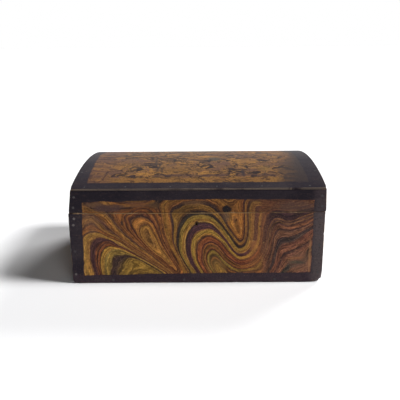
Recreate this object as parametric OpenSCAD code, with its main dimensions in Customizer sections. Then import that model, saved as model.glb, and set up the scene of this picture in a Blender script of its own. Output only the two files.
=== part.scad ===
// Grain-painted wooden deed box with a gently domed lid.
// Millimetres. X runs along the front, Y from the front (-) to the back (+), Z up.
// The origin is the middle of the underside.

/* [Case] */
// Width of the case along the front
case_w = 380; // [300:1:500]
// Depth of the case, front face to back face
case_d = 268; // [220:1:340]
// Height of the case up to the seam
case_h = 112; // [95:1:160]
// Thickness of the front board
front_t = 12; // [12:0.5:16]
// Thickness of the back board, which takes the hinges
back_t = 14; // [14:0.5:18]
// Thickness of the two end boards
end_t = 13; // [12:0.5:18]
// Thickness of the bottom board
bottom_t = 10; // [8:0.5:14]

/* [Lid] */
// Height of the lid's straight sides, from the seam to the edge of the top
lid_side_h = 37.3; // [30:0.1:60]
// Rise of the domed top above its front edge
lid_rise = 15; // [8:0.5:30]
// Thickness of the bent top board
top_t = 3; // [2.5:0.1:5]
// Overhang of the top board past the front and back rails
top_overhang = 0.4; // [0:0.1:2]
// Gap between the lid and the case along the seam
seam_gap = 0.3; // [0.2:0.05:0.6]
// How far the lid's left end stands inside the case's at the seam
lid_in_left = 0.8; // [0:0.1:2]
// How far the lid's right end stands past the case's at the seam
lid_out_right = 1.2; // [0:0.1:2]
// How far the lid's left end leans in on its way up
lean_left = 4.9; // [0:0.1:6]
// How far the lid's right end leans in on its way up
lean_right = 1.4; // [0:0.1:6]

/* [Hinges] */
// Distance of each hinge from the middle of the back
hinge_x = 115; // [80:1:140]
// Length of a hinge
hinge_len = 45; // [40:1:60]
// Outer radius of the hinge barrel
barrel_r = 3; // [2.6:0.1:3.2]
// Radius of the hinge pin
pin_r = 1.25; // [1:0.05:1.4]
// Running clearance round the hinge pin
pin_clear = 0.05; // [0.02:0.01:0.1]
// Thickness of a hinge leaf
leaf_t = 1.2; // [1:0.1:1.2]
// Depth of the pin's axis inside the back face
axis_in = 3.5; // [3.3:0.1:4]
// Angle of the bevels on the back arrises, which stop the open lid when they meet
bevel_a = 54; // [50:1:56]

/* [Lock] */
// Half width of the lock's plates
lock_hw = 26; // [24:0.5:30]
// Height of the lock
lock_h = 32; // [28:0.5:36]
// Depth of the lock's mortise, from the inner face of the front board
lock_d = 8.5; // [8.5:0.1:8.5]
// Depth of the key post below the seam
key_drop = 15.5; // [15.5:0.1:15.5]
// Radius of the round part of the keyhole
keyhole_r = 1.7; // [1.5:0.1:2.2]

/* [Fastenings] */
// Radius of a nail's shank
nail_r = 1.0; // [0.8:0.1:1.2]
// Radius of a nail's head
nail_head_r = 1.9; // [1.6:0.1:2.2]
// Radius of a brad's shank
brad_r = 0.6; // [0.5:0.05:0.8]
// Radius of a brad's head
brad_head_r = 1.3; // [1:0.1:1.6]
// Radius of a screw's shank
screw_r = 1.0; // [0.8:0.1:1.2]
// Radius of a screw's head
screw_head_r = 2.1; // [1.8:0.1:2.2]

/* [Hidden] */
$fn = 48;

hw = case_w / 2;                       // half width
hd = case_d / 2;                       // half depth
yf = -hd + front_t;                    // inner face of the front board
yb = hd - back_t;                      // inner face of the back board
xe = hw - end_t;                       // inner face of an end board
z_lid = case_h + seam_gap;             // underside of the lid's rails
z_edge = case_h + seam_gap + lid_side_h; // edge of the top board
z_top = z_edge + lid_rise;             // crown of the dome
dome_r = (hd * hd + lid_rise * lid_rise) / (2 * lid_rise);
dome_z = z_top - dome_r;               // height of the dome's centre line
under_r = dome_r - top_t;              // underside of the top board
xl0 = -hw + lid_in_left;               // the lid's left end at the seam
xr0 = hw + lid_out_right;              // the lid's right end at the seam
xl1 = xl0 + lean_left;                 // and both at the edge of the top
xr1 = xr0 - lean_right;

axis_y = hd - axis_in;                 // hinge axis
axis_z = case_h + seam_gap / 2;
knuckle = hinge_len / 5;               // five knuckles on each hinge
knuckle_gap = 0.15;
groove_r = barrel_r + 0.35;
leaf_y0 = yb + 1;                      // front edge of a leaf
leaf_y1 = axis_y - groove_r;           // where a leaf's plate stops, clear of the barrel
screw_y = (leaf_y0 + leaf_y1) / 2 - 0.2;

lock_y0 = yf - lock_d;                 // front of the lock
lock_cap_t = 0.8;
lock_plate_t = 1.5;
lock_in = 21;                          // half width of the lock's case
key_z = case_h - key_drop;
bolt_t = 2.2;
bolt_y = yf - 4.5;                     // middle plane of the bolt
bolt_travel = 6;

// Nails at the corners: distance in from the edge, and height
case_corner_left = [[8.5, 104], [7, 94], [6.5, 52], [5.5, 15]];
case_corner_right = [[6.5, 103], [6.5, 60], [7, 16]];
case_corner_back = [[6.5, 98], [6.5, 58], [6.5, 18]];
bottom_nail_x = [-128, -20, 118];
bottom_nail_y = [-72, 58];
lid_corner_z = [121, 137];
brad_x = [-164, -104, -38, 30, 96, 166];
brad_y = [-74, 2, 76];

paint = [0.10, 0.085, 0.09];
grain = [0.50, 0.37, 0.20];
pine = [0.68, 0.52, 0.34];
iron = [0.27, 0.25, 0.24];
brass = [0.66, 0.52, 0.27];

// ---------- shared shapes ----------

module box(x0, x1, y0, y1, z0, z1) {
    translate([x0, y0, z0]) cube([x1 - x0, y1 - y0, z1 - z0]);
}

// A nail along +Y from its flush head at the origin
module nail(r, hr, ht, len) {
    rotate([-90, 0, 0]) union() {
        cylinder(r = hr, h = ht);
        cylinder(r = r, h = len);
    }
}

// A countersunk screw pointing down, its head's top at z = 0
module screw(len, slot_a = 0) {
    difference() {
        union() {
            translate([0, 0, -1.0]) cylinder(r1 = screw_r, r2 = screw_head_r, h = 0.9);
            translate([0, 0, -len]) cylinder(r = screw_r, h = len - 0.9);
            translate([0, 0, -len - 1.6]) cylinder(r1 = 0.2, r2 = screw_r, h = 1.6);
        }
        rotate([0, 0, slot_a]) translate([-3, -0.3, -0.55]) cube([6, 0.6, 1]);
    }
}

// The space a screw takes in what it holds
module screw_space(len) {
    translate([0, 0, -1.0]) cylinder(r1 = screw_r, r2 = screw_r + (screw_head_r - screw_r) * 1.1 / 0.9, h = 1.1);
    translate([0, 0, -len]) cylinder(r = screw_r, h = len - 0.9);
    translate([0, 0, -len - 1.7]) cylinder(r1 = 0.2, r2 = screw_r, h = 1.7);
}

// Everything under the underside of the bent top board
module under_dome(extra = 0) {
    translate([-hw - 20, 0, dome_z]) rotate([0, 90, 0])
        cylinder(r = under_r + extra, h = case_w + 40, $fn = 180);
}

// The lid's outline seen from the front, between two depths
module lid_prism(y0, y1) {
    translate([0, y1, 0]) rotate([90, 0, 0]) linear_extrude(height = y1 - y0)
        polygon([[xl0, z_lid], [xr0, z_lid], [xr1, z_edge], [xr1, z_top + 1], [xl1, z_top + 1], [xl1, z_edge]]);
}

// ---------- hinges ----------

// The knuckles of one leaf: k0 is the first knuckle, then every second one
module knuckles(k0) {
    for (k = [k0 : 2 : 4])
        translate([-hinge_len / 2 + k * knuckle + knuckle_gap, 0, 0]) rotate([0, 90, 0])
            cylinder(r = barrel_r, h = knuckle - 2 * knuckle_gap);
}

// One leaf, hinge axis at the origin; up = 1 for the lid's leaf, -1 for the case's
module leaf(k0, up) {
    z_in = up * seam_gap / 2;
    z_out = up * (seam_gap / 2 + leaf_t);
    z_lo = min(z_in, z_out);
    z_hi = max(z_in, z_out);
    difference() {
        union() {
            box(-hinge_len / 2, hinge_len / 2, leaf_y0 - axis_y, leaf_y1 - axis_y, z_lo, z_hi);
            for (k = [k0 : 2 : 4])
                box(-hinge_len / 2 + k * knuckle + knuckle_gap,
                    -hinge_len / 2 + (k + 1) * knuckle - knuckle_gap,
                    leaf_y1 - axis_y - 0.5, -0.5, z_lo, z_hi);
            knuckles(k0);
        }
        translate([-hinge_len, 0, 0]) rotate([0, 90, 0]) cylinder(r = pin_r + pin_clear, h = 2 * hinge_len);
        for (x = [-15.5, 0, 15.5])
            translate([x, screw_y - axis_y, z_in]) rotate([up > 0 ? 180 : 0, 0, 0]) screw_space(10);
    }
}

// The pin with its two riveted ends, hinge axis at the origin
module hinge_pin() {
    l = hinge_len - 2 * knuckle_gap;
    rotate([0, 90, 0]) union() {
        translate([0, 0, -l / 2 - 0.4]) cylinder(r = pin_r, h = l + 0.8);
        translate([0, 0, -l / 2 - 0.9]) cylinder(r1 = 1.4, r2 = 2.1, h = 0.9);
        translate([0, 0, l / 2]) cylinder(r1 = 2.1, r2 = 1.4, h = 0.9);
    }
}

module at_hinge(side) {
    translate([side * hinge_x, axis_y, axis_z]) children();
}

// Room for the barrels, cut from both back boards
module barrel_grooves() {
    for (s = [-1, 1]) at_hinge(s)
        translate([-hinge_len / 2 - 1.6, 0, 0]) rotate([0, 90, 0]) cylinder(r = groove_r, h = hinge_len + 3.2);
}

// The bevel along a back arris; up = 1 for the lid's
module bevel(up) {
    reach = axis_in + 2.35;
    translate([-hw - 5, axis_y, axis_z]) rotate([90, 0, 90])
        linear_extrude(height = case_w + 12)
            polygon([[-0.35, 0], [reach - 0.35, up * reach * tan(bevel_a)],
                     [reach + 4, up * reach * tan(bevel_a)], [reach + 4, -up * 4], [-0.35, -up * 4]]);
}

// ---------- case ----------

module keyhole(r, slot_w, drop) {
    // through the front, along Y
    translate([0, -hd - 1, key_z]) rotate([-90, 0, 0]) cylinder(r = r, h = front_t);
    box(-slot_w / 2, slot_w / 2, -hd - 1, -hd - 1 + front_t, key_z - drop, key_z);
}

module front_board() {
    color(grain) difference() {
        box(-hw, hw, -hd, yf, 0, case_h);
        // mortise for the lock's case, and the let-in plates
        box(-lock_in, lock_in, lock_y0, yf + 1, case_h - 29, case_h + 1);
        box(-lock_hw, lock_hw, yf - lock_plate_t, yf + 1, case_h - lock_h, case_h + 1);
        box(-lock_hw, lock_hw, lock_y0, yf + 1, case_h - lock_plate_t, case_h + 1);
        keyhole(keyhole_r, 1.7, 4.4);
        lock_screw_spaces();
        front_nail_spaces();
    }
}

module front_nail_spaces() {
    for (n = case_corner_left) translate([-hw + n[0], -hd, n[1]]) nail(nail_r, nail_head_r, 0.8, 34);
    for (n = case_corner_right) translate([hw - n[0], -hd, n[1]]) nail(nail_r, nail_head_r, 0.8, 34);
    for (x = bottom_nail_x) translate([x, -hd, bottom_t / 2]) nail(nail_r, nail_head_r, 0.8, 34);
}

module back_nail_spaces() {
    for (s = [-1, 1]) for (n = case_corner_back)
        translate([s * (hw - n[0]), hd, n[1]]) rotate([0, 0, 180]) nail(nail_r, nail_head_r, 0.8, 34);
    for (x = bottom_nail_x) translate([x + 8, hd, bottom_t / 2]) rotate([0, 0, 180]) nail(nail_r, nail_head_r, 0.8, 34);
}

module end_nail_spaces() {
    for (y = bottom_nail_y) {
        translate([-hw, y, bottom_t / 2]) rotate([0, 0, -90]) nail(nail_r, nail_head_r, 0.8, 34);
        translate([hw, y, bottom_t / 2]) rotate([0, 0, 90]) nail(nail_r, nail_head_r, 0.8, 34);
    }
}

module back_board() {
    color(paint) difference() {
        box(-hw, hw, yb, hd, 0, case_h);
        bevel(-1);
        barrel_grooves();
        for (s = [-1, 1]) box(s * hinge_x - hinge_len / 2, s * hinge_x + hinge_len / 2, leaf_y0, axis_y, case_h - leaf_t, case_h + 1);
        for (s = [-1, 1]) for (x = [-15.5, 0, 15.5]) translate([s * hinge_x + x, screw_y, case_h]) screw_space(10);
        back_nail_spaces();
    }
}

module end_board(side) {
    color(grain) difference() {
        if (side < 0) box(-hw, -xe, yf, yb, 0, case_h);
        else box(xe, hw, yf, yb, 0, case_h);
        front_nail_spaces();
        back_nail_spaces();
        end_nail_spaces();
    }
}

module left_end_board() { end_board(-1); }
module right_end_board() { end_board(1); }

module bottom_board() {
    color(pine) difference() {
        box(-xe, xe, yf, yb, 0, bottom_t);
        front_nail_spaces();
        back_nail_spaces();
        end_nail_spaces();
    }
}

module case_nails() {
    color(iron) {
        for (n = case_corner_left) translate([-hw + n[0], -hd, n[1]]) nail(nail_r, nail_head_r, 0.8, 34);
        for (n = case_corner_right) translate([hw - n[0], -hd, n[1]]) nail(nail_r, nail_head_r, 0.8, 34);
        for (s = [-1, 1]) for (n = case_corner_back)
            translate([s * (hw - n[0]), hd, n[1]]) rotate([0, 0, 180]) nail(nail_r, nail_head_r, 0.8, 34);
    }
}

module bottom_nails() {
    color(iron) {
        for (x = bottom_nail_x) translate([x, -hd, bottom_t / 2]) nail(nail_r, nail_head_r, 0.8, 34);
        for (x = bottom_nail_x) translate([x + 8, hd, bottom_t / 2]) rotate([0, 0, 180]) nail(nail_r, nail_head_r, 0.8, 34);
        end_nail_spaces();
    }
}

module hinge_left_case_leaf() { color(iron) at_hinge(-1) leaf(0, -1); }
module hinge_right_case_leaf() { color(iron) at_hinge(1) leaf(0, -1); }
module hinge_left_pin() { color(iron) at_hinge(-1) hinge_pin(); }
module hinge_right_pin() { color(iron) at_hinge(1) hinge_pin(); }

module hinge_case_screws() {
    color(iron) for (s = [-1, 1]) for (x = [-15.5, 0, 15.5])
        translate([s * hinge_x + x, screw_y, case_h]) screw(10, x * 4 + 20 * s);
}

// ---------- lock ----------

module lock_screw_spaces() {
    for (x = [-23.5, 23.5]) for (z = [case_h - 27, case_h - 6.5])
        translate([x, yf, z]) rotate([-90, 0, 0]) screw_space(7.4);
}

module lock_screws() {
    color(brass) for (x = [-23.5, 23.5]) for (z = [case_h - 27, case_h - 6.5])
        translate([x, yf, z]) rotate([-90, 0, 0]) screw(7.4, x + z);
}

module lock_plate() {
    color(brass) difference() {
        union() {
            box(-lock_hw, lock_hw, yf - lock_plate_t, yf, case_h - lock_h, case_h);
            box(-lock_hw, lock_hw, lock_y0, yf - lock_plate_t, case_h - lock_plate_t, case_h);
            // stump that guides the bolt
            translate([-9, yf - lock_plate_t + 0.2, key_z + 5]) rotate([90, 0, 0]) cylinder(r = 1.1, h = 5.2);
        }
        // slot for the staple
        box(-2.3, 2.3, bolt_y - 3.1, bolt_y + 2.8, case_h - 3, case_h + 1);
        // seat of the key post
        translate([0, yf + 1, key_z]) rotate([90, 0, 0]) cylinder(r = 1.0, h = 4);
        lock_screw_spaces();
    }
}

module lock_case() {
    color(brass) difference() {
        box(-lock_in, lock_in, lock_y0, yf - lock_plate_t, case_h - 29, case_h - lock_plate_t);
        box(-lock_in + lock_cap_t, lock_in - lock_cap_t, lock_y0 + lock_cap_t, yf, case_h - 29 + lock_cap_t, case_h + 1);
        translate([0, lock_y0 - 1, key_z]) rotate([-90, 0, 0]) cylinder(r = 2.2, h = 3);
        box(-1.1, 1.1, lock_y0 - 1, lock_y0 + 2, key_z - 5, key_z);
    }
}

// A hollow key turns on this post
module lock_key_post() {
    color(brass) translate([0, yf, key_z]) rotate([90, 0, 0]) union() {
        cylinder(r = 1.0, h = 2);
        translate([0, 0, lock_plate_t]) cylinder(r = 1.15, h = 6.6);
    }
}

// Bent leaf spring that rests over the bolt
module lock_spring() {
    z0 = case_h - lock_plate_t;
    x0 = -lock_in + lock_cap_t;
    color(iron) translate([0, bolt_y + 1.1, 0]) rotate([90, 0, 0]) linear_extrude(height = 2.2)
        polygon([[x0, z0], [x0 + 3, z0], [x0 + 3, z0 - 0.5], [x0 + 10, case_h - 2.65], [x0 + 14, case_h - 2.0],
                 [x0 + 14.2, case_h - 2.4], [x0 + 10, case_h - 3.1], [x0 + 2.5, z0 - 0.9], [x0, z0 - 0.9]]);
}

// The bolt, drawn withdrawn; it slides towards +X through the staple's eye
module lock_bolt() {
    color(iron) difference() {
        union() {
            // tongue
            box(-19.8, -2.6, bolt_y - bolt_t / 2, bolt_y + bolt_t / 2, case_h - 6.3, case_h - 3.3);
            // neck
            box(-19.8, -8, bolt_y - bolt_t / 2, bolt_y + bolt_t / 2, case_h - 8.6, case_h - 6.2);
            // body with the talon
            box(-19.8, 8, bolt_y - bolt_t / 2, bolt_y + bolt_t / 2, key_z + 2.9, case_h - 8.4);
        }
        // talon notch that the key turns in
        box(-5.2, -0.8, bolt_y - 3, bolt_y + 3, key_z + 1, key_z + 4.9);
        // slot over the stump
        box(-15, -9, bolt_y - 3, bolt_y + 3, key_z + 5 - 1.3, key_z + 5 + 1.3);
        for (x = [-15, -9]) translate([x, bolt_y + 3, key_z + 5]) rotate([90, 0, 0]) cylinder(r = 1.3, h = 6);
    }
}

// ---------- lid ----------

// The middle of an end board of the lid at the height z
function end_mid(s, z) = let (t = (z - z_lid) / lid_side_h)
    s < 0 ? xl0 + lean_left * t + end_t / 2 : xr0 - lean_right * t - end_t / 2;

module lid_rail_nail_spaces() {
    for (s = [-1, 1]) for (z = lid_corner_z) {
        translate([end_mid(s, z), -hd, z]) nail(nail_r, nail_head_r, 0.8, 34);
        translate([end_mid(s, z), hd, z]) rotate([0, 0, 180]) nail(nail_r, nail_head_r, 0.8, 34);
    }
}

// A brad square to the dome at the distance y from its middle line
module at_dome(x, y) {
    translate([x, 0, dome_z]) rotate([-asin(y / dome_r), 0, 0]) translate([0, 0, dome_r]) children();
}

module brad() {
    translate([0, 0, -0.5]) cylinder(r = brad_head_r, h = 0.45, $fn = 24);
    translate([0, 0, -16]) cylinder(r = brad_r, h = 15.8, $fn = 24);
}

module brad_spaces() {
    for (x = brad_x) for (s = [-1, 1]) at_dome(x, s * (hd - 6)) brad_hole();
    for (x = [xl1 + 6.5, xr1 - 6.5]) for (y = brad_y) at_dome(x, y) brad_hole();
}

module brad_hole() {
    translate([0, 0, -0.5]) cylinder(r = brad_head_r, h = 1.5, $fn = 24);
    translate([0, 0, -16]) cylinder(r = brad_r, h = 15.8, $fn = 24);
}

module lid_top_brads() {
    color(iron) {
        for (x = brad_x) for (s = [-1, 1]) at_dome(x, s * (hd - 6)) brad();
        for (x = [xl1 + 6.5, xr1 - 6.5]) for (y = brad_y) at_dome(x, y) brad();
    }
}

module lid_top() {
    o = top_overhang;
    color(grain) difference() {
        translate([xl1, 0, dome_z]) rotate([0, 90, 0]) cylinder(r = dome_r, h = xr1 - xl1, $fn = 180);
        translate([-hw - 10, 0, dome_z]) rotate([0, 90, 0]) cylinder(r = under_r, h = case_w + 20, $fn = 180);
        box(-hw - 20, hw + 20, -dome_r - 10, -hd - o, dome_z - dome_r - 10, z_top + 10);
        box(-hw - 20, hw + 20, hd + o, dome_r + 10, dome_z - dome_r - 10, z_top + 10);
        box(-hw - 20, hw + 20, -hd - o - 5, hd + o + 5, dome_z - dome_r - 10, case_h);
        brad_spaces();
    }
}

module lid_front_rail() {
    color(grain) difference() {
        intersection() {
            lid_prism(-hd, yf);
            under_dome();
        }
        // let-in staple plate
        box(-18, 18, lock_y0, yf - 0.8, z_lid - 1, z_lid + 1.5);
        for (x = [-12.5, 12.5]) translate([x, bolt_y + 0.2, z_lid]) rotate([180, 0, 0]) screw_space(9);
        lid_rail_nail_spaces();
        brad_spaces();
    }
}

module lid_back_rail() {
    color(paint) difference() {
        intersection() {
            lid_prism(yb, hd);
            under_dome();
        }
        bevel(1);
        barrel_grooves();
        for (s = [-1, 1]) box(s * hinge_x - hinge_len / 2, s * hinge_x + hinge_len / 2, leaf_y0, axis_y, z_lid - 1, z_lid + leaf_t);
        for (s = [-1, 1]) for (x = [-15.5, 0, 15.5]) translate([s * hinge_x + x, screw_y, z_lid]) rotate([180, 0, 0]) screw_space(10);
        lid_rail_nail_spaces();
        brad_spaces();
    }
}

module lid_end(side) {
    color(grain) difference() {
        intersection() {
            translate([0, yb, 0]) rotate([90, 0, 0]) linear_extrude(height = yb - yf)
                polygon(side < 0
                    ? [[xl0, z_lid], [xl0 + end_t, z_lid], [xl1 + end_t, z_edge], [xl1 + end_t, z_top], [xl1, z_top], [xl1, z_edge]]
                    : [[xr0, z_lid], [xr1, z_edge], [xr1, z_top], [xr1 - end_t, z_top], [xr1 - end_t, z_edge], [xr0 - end_t, z_lid]]);
            under_dome();
        }
        lid_rail_nail_spaces();
        brad_spaces();
    }
}

module lid_left_end() { lid_end(-1); }
module lid_right_end() { lid_end(1); }
module lid_nails() { color(iron) lid_rail_nail_spaces(); }

module hinge_left_lid_leaf() { color(iron) at_hinge(-1) leaf(1, 1); }
module hinge_right_lid_leaf() { color(iron) at_hinge(1) leaf(1, 1); }

module hinge_lid_screws() {
    color(iron) for (s = [-1, 1]) for (x = [-15.5, 0, 15.5])
        translate([s * hinge_x + x, screw_y, z_lid]) rotate([180, 0, 0]) screw(10, x * 3 - 15 * s);
}

module lock_staple() {
    color(brass) difference() {
        box(-18, 18, lock_y0, yf - 0.8, z_lid, z_lid + 1.5);
        // seat of the eye's tenon
        box(-1.25, 1.25, bolt_y - 1.8, bolt_y + 1.4, z_lid - 1, z_lid + 3);
        for (x = [-12.5, 12.5]) translate([x, bolt_y + 0.2, z_lid]) rotate([180, 0, 0]) screw_space(9);
    }
}

// The eye is riveted into the staple's plate
module staple_eye() {
    color(brass) difference() {
        union() {
            box(-1.25, 1.25, bolt_y - 2.4, bolt_y + 1.9, case_h - 8.0, z_lid);
            box(-1.25, 1.25, bolt_y - 1.8, bolt_y + 1.4, z_lid - 1, z_lid + 1.5);
        }
        box(-3, 3, bolt_y - 1.4, bolt_y + 1.4, case_h - 6.8, case_h - 2.8);
    }
}

module staple_screws() {
    color(brass) for (x = [-12.5, 12.5])
        translate([x, bolt_y + 0.2, z_lid]) rotate([180, 0, 0]) screw(9, x * 2);
}

front_board();
back_board();
left_end_board();
right_end_board();
bottom_board();
case_nails();
bottom_nails();
hinge_left_case_leaf();
hinge_right_case_leaf();
hinge_left_pin();
hinge_right_pin();
hinge_case_screws();
lock_plate();
lock_case();
lock_key_post();
lock_spring();
lock_screws();
lock_bolt();
lid_top();
lid_front_rail();
lid_back_rail();
lid_left_end();
lid_right_end();
lid_nails();
lid_top_brads();
hinge_left_lid_leaf();
hinge_right_lid_leaf();
hinge_lid_screws();
lock_staple();
staple_eye();
staple_screws();
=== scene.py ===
"""A small grain-painted box with a gently domed lid: detailed boards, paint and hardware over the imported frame."""

import math

import bmesh
import bpy
import numpy as np
from mathutils import Matrix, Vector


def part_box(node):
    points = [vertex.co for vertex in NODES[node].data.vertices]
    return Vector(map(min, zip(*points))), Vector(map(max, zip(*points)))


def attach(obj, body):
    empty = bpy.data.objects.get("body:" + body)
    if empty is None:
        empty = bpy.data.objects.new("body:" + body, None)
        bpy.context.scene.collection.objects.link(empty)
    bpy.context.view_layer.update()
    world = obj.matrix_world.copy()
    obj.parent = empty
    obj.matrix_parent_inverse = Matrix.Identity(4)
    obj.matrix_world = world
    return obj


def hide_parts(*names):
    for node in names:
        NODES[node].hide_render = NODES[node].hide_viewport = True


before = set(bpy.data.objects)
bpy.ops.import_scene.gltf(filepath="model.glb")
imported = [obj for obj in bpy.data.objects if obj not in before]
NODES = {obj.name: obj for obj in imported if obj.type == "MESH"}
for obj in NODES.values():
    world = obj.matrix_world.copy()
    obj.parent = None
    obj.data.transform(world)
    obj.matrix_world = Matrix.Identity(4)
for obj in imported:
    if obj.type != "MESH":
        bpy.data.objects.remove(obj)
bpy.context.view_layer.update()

# ------------------------------------------------------------------ dimensions, in mm, as in part.scad
HW, HD, HC = 190.0, 134.0, 112.0          # half width, half depth and height of the case
ZL, ZE, ZT = 112.3, 149.6, 164.6          # underside of the lid, edge and crown of the bent top
DOME_R = 606.03
DOME_Z = ZT - DOME_R
UNDER_R = 603.03
XL0, XL1, XR0, XR1 = -189.2, -184.3, 191.2, 189.8   # the lid's ends at the seam and at the top
SKIN = 0.12                               # how far a board's painted face lies behind the CAD face


# ------------------------------------------------------------------ noise without any random state
def _hash(ix, iy, seed):
    h = (ix.astype(np.int64) * 374761393 + iy.astype(np.int64) * 668265263 + seed * 1442695041) & 0xFFFFFFFF
    h = ((h ^ (h >> 13)) * 1274126177) & 0xFFFFFFFF
    h = ((h ^ (h >> 16)) * 2246822519) & 0xFFFFFFFF
    return ((h ^ (h >> 15)) & 0xFFFFFF) / float(0xFFFFFF)


def vnoise(x, y, seed=0):
    """Value noise from 0 to 1."""
    x0, y0 = np.floor(x), np.floor(y)
    fx, fy = x - x0, y - y0
    fx, fy = fx * fx * (3 - 2 * fx), fy * fy * (3 - 2 * fy)
    a, b = _hash(x0, y0, seed), _hash(x0 + 1, y0, seed)
    c, d = _hash(x0, y0 + 1, seed), _hash(x0 + 1, y0 + 1, seed)
    return (a * (1 - fx) + b * fx) * (1 - fy) + (c * (1 - fx) + d * fx) * fy


def fbm(x, y, seed=0, octaves=4, gain=0.5):
    out, amp, tot = 0.0, 1.0, 0.0
    for k in range(octaves):
        out = out + amp * vnoise(x * 2 ** k + 17.3 * k, y * 2 ** k - 9.1 * k, seed + k)
        tot += amp
        amp *= gain
    return out / tot


def step(a, b, v):
    t = np.clip((v - a) / (b - a), 0, 1)
    return t * t * (3 - 2 * t)


# ------------------------------------------------------------------ comb swirls of the front
# Strokes of the comb over the front, across the seam: (level, points x, z in mm). Between two strokes the
# level changes smoothly, and each level has its colour, so the colours follow the strokes.
STROKES = [
    (0.0, [(-86, 21), (-77, 19)]),
    (1.0, [(-106, 16), (-103, 26), (-95, 31), (-83, 29), (-71, 24), (-59, 17)]),
    (2.0, [(-123, 16), (-120, 32), (-113, 40), (-100, 42), (-85, 37), (-68, 27), (-54, 17)]),
    (3.4, [(-135, 16), (-134, 34), (-129, 47), (-118, 50), (-103, 47), (-85, 39), (-66, 27), (-52, 17)]),
    (5.0, [(-144, 16), (-145, 33), (-142, 47), (-136, 55), (-125, 58), (-110, 56), (-94, 48), (-76, 37), (-59, 25), (-50, 18)]),
    (7.5, [(-152, 16), (-157, 33), (-158, 50), (-153, 63), (-144, 70), (-132, 70), (-114, 64), (-93, 49), (-70, 34), (-47, 19)]),
    (9.3, [(-167, 16), (-169, 34), (-169, 54), (-167, 70), (-160, 78), (-149, 81), (-138, 78), (-123, 70), (-106, 58), (-82, 42), (-63, 29), (-45, 18)]),
    (11.0, [(-170, 83), (-158, 92), (-143, 84), (-122, 68), (-93, 48), (-63, 30), (-44, 18)]),
    (12.5, [(-154, 107), (-144, 100), (-128, 84), (-107, 66), (-85, 50), (-63, 33), (-41, 18)]),
    (14.0, [(-136, 112), (-127, 101), (-116, 87), (-99, 69), (-77, 51), (-55, 32), (-39, 18)]),
    (15.5, [(-118, 113), (-113, 98), (-96, 76), (-73, 53), (-55, 37), (-37, 18)]),
    (14.2, [(-164, 128), (-153, 121), (-135, 121), (-115, 121), (-91, 122), (-67, 125)]),
    (16.2, [(-106, 106), (-101, 87), (-84, 64), (-64, 45), (-34, 19)]),
    (17.6, [(-101, 104), (-94, 87), (-81, 67), (-64, 49), (-46, 34), (-33, 20)]),
    (17.6, [(-68, 102), (-60, 87), (-54, 69), (-44, 50), (-30, 22)]),
    (16.0, [(-98, 112), (-90, 118), (-78, 120), (-66, 115), (-58, 99), (-53, 78), (-44, 55), (-27, 22)]),
    (17.6, [(-97, 99), (-92, 106), (-83, 108), (-74, 106), (-69, 100)]),
    (19.3, [(-85, 82), (-84, 91), (-77, 96), (-70, 93), (-65, 83), (-57, 64), (-47, 45), (-31, 21)]),
    (19.3, [(-84, 76), (-74, 60), (-61, 46)]),
    (21.0, [(-75, 85), (-66, 69), (-55, 50), (-40, 30)]),
    (15.0, [(-59, 124), (-53, 111), (-52, 93), (-48, 72), (-38, 51), (-24, 22)]),
    (16.5, [(-48, 119), (-45, 101), (-44, 82), (-38, 61), (-19, 22)]),
    (18.5, [(-38, 111), (-36, 93), (-36, 72), (-31, 53), (-13, 20)]),
    (18.5, [(-26, 122), (-12, 127), (6, 129), (22, 125), (34, 112), (47, 91), (59, 72), (65, 67), (70, 76), (71, 100), (70, 121)]),
    (21.0, [(-12, 19), (-21, 33), (-27, 53), (-28, 72), (-24, 91), (-13, 105), (3, 110), (19, 108), (32, 98), (46, 80), (59, 60), (67, 57), (74, 67), (77, 87), (76, 112), (78, 126)]),
    (23.6, [(-4, 18), (-13, 33), (-19, 53), (-19, 69), (-14, 86), (-2, 98), (12, 100), (25, 95), (38, 81), (50, 62), (59, 50), (68, 49), (78, 57), (83, 76), (84, 103), (85, 123)]),
    (25.6, [(4, 18), (-5, 33), (-10, 51), (-8, 70), (1, 84), (15, 89), (28, 84), (41, 70), (53, 53), (63, 44), (73, 45), (83, 55), (90, 74), (91, 97), (92, 118)]),
    (27.4, [(10, 18), (2, 33), (-1, 49), (2, 66), (13, 76), (25, 75), (37, 64), (49, 49), (61, 38), (75, 38), (88, 49), (95, 68), (97, 90), (100, 109), (112, 117), (129, 117)]),
    (29.6, [(17, 18), (10, 32), (8, 46), (11, 59), (20, 65), (31, 60), (44, 44), (60, 31), (76, 30), (93, 42), (100, 62), (103, 84), (108, 101), (119, 108), (136, 102), (153, 109), (169, 115)]),
    (31.8, [(25, 18), (17, 30), (16, 43), (20, 52), (28, 51), (38, 40), (54, 25), (72, 22), (90, 29), (103, 49), (108, 71), (112, 89), (120, 98), (134, 94), (153, 99), (171, 107)]),
    (34.0, [(29, 18), (26, 28), (30, 35), (37, 26), (46, 17)]),
    (33.6, [(99, 17), (108, 33), (113, 55), (116, 73), (124, 84), (139, 82), (157, 88), (173, 96)]),
    (35.4, [(107, 16), (115, 33), (119, 52), (125, 66), (137, 67), (150, 73), (163, 83), (173, 88)]),
    (37.4, [(116, 16), (123, 31), (129, 45), (140, 51), (155, 57), (167, 66), (174, 74)]),
    (39.2, [(128, 16), (134, 24), (143, 30), (155, 32), (164, 39), (167, 52), (175, 60)]),
    (41.0, [(145, 15), (157, 19), (167, 26), (173, 37), (177, 48)]),
    (26.2, [(141, 121), (157, 125), (170, 128)]),
    (20.2, [(97, 130), (116, 128), (135, 129)]),
    (16.8, [(53, 125), (59, 109), (63, 90), (65, 79)]),
]


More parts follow.
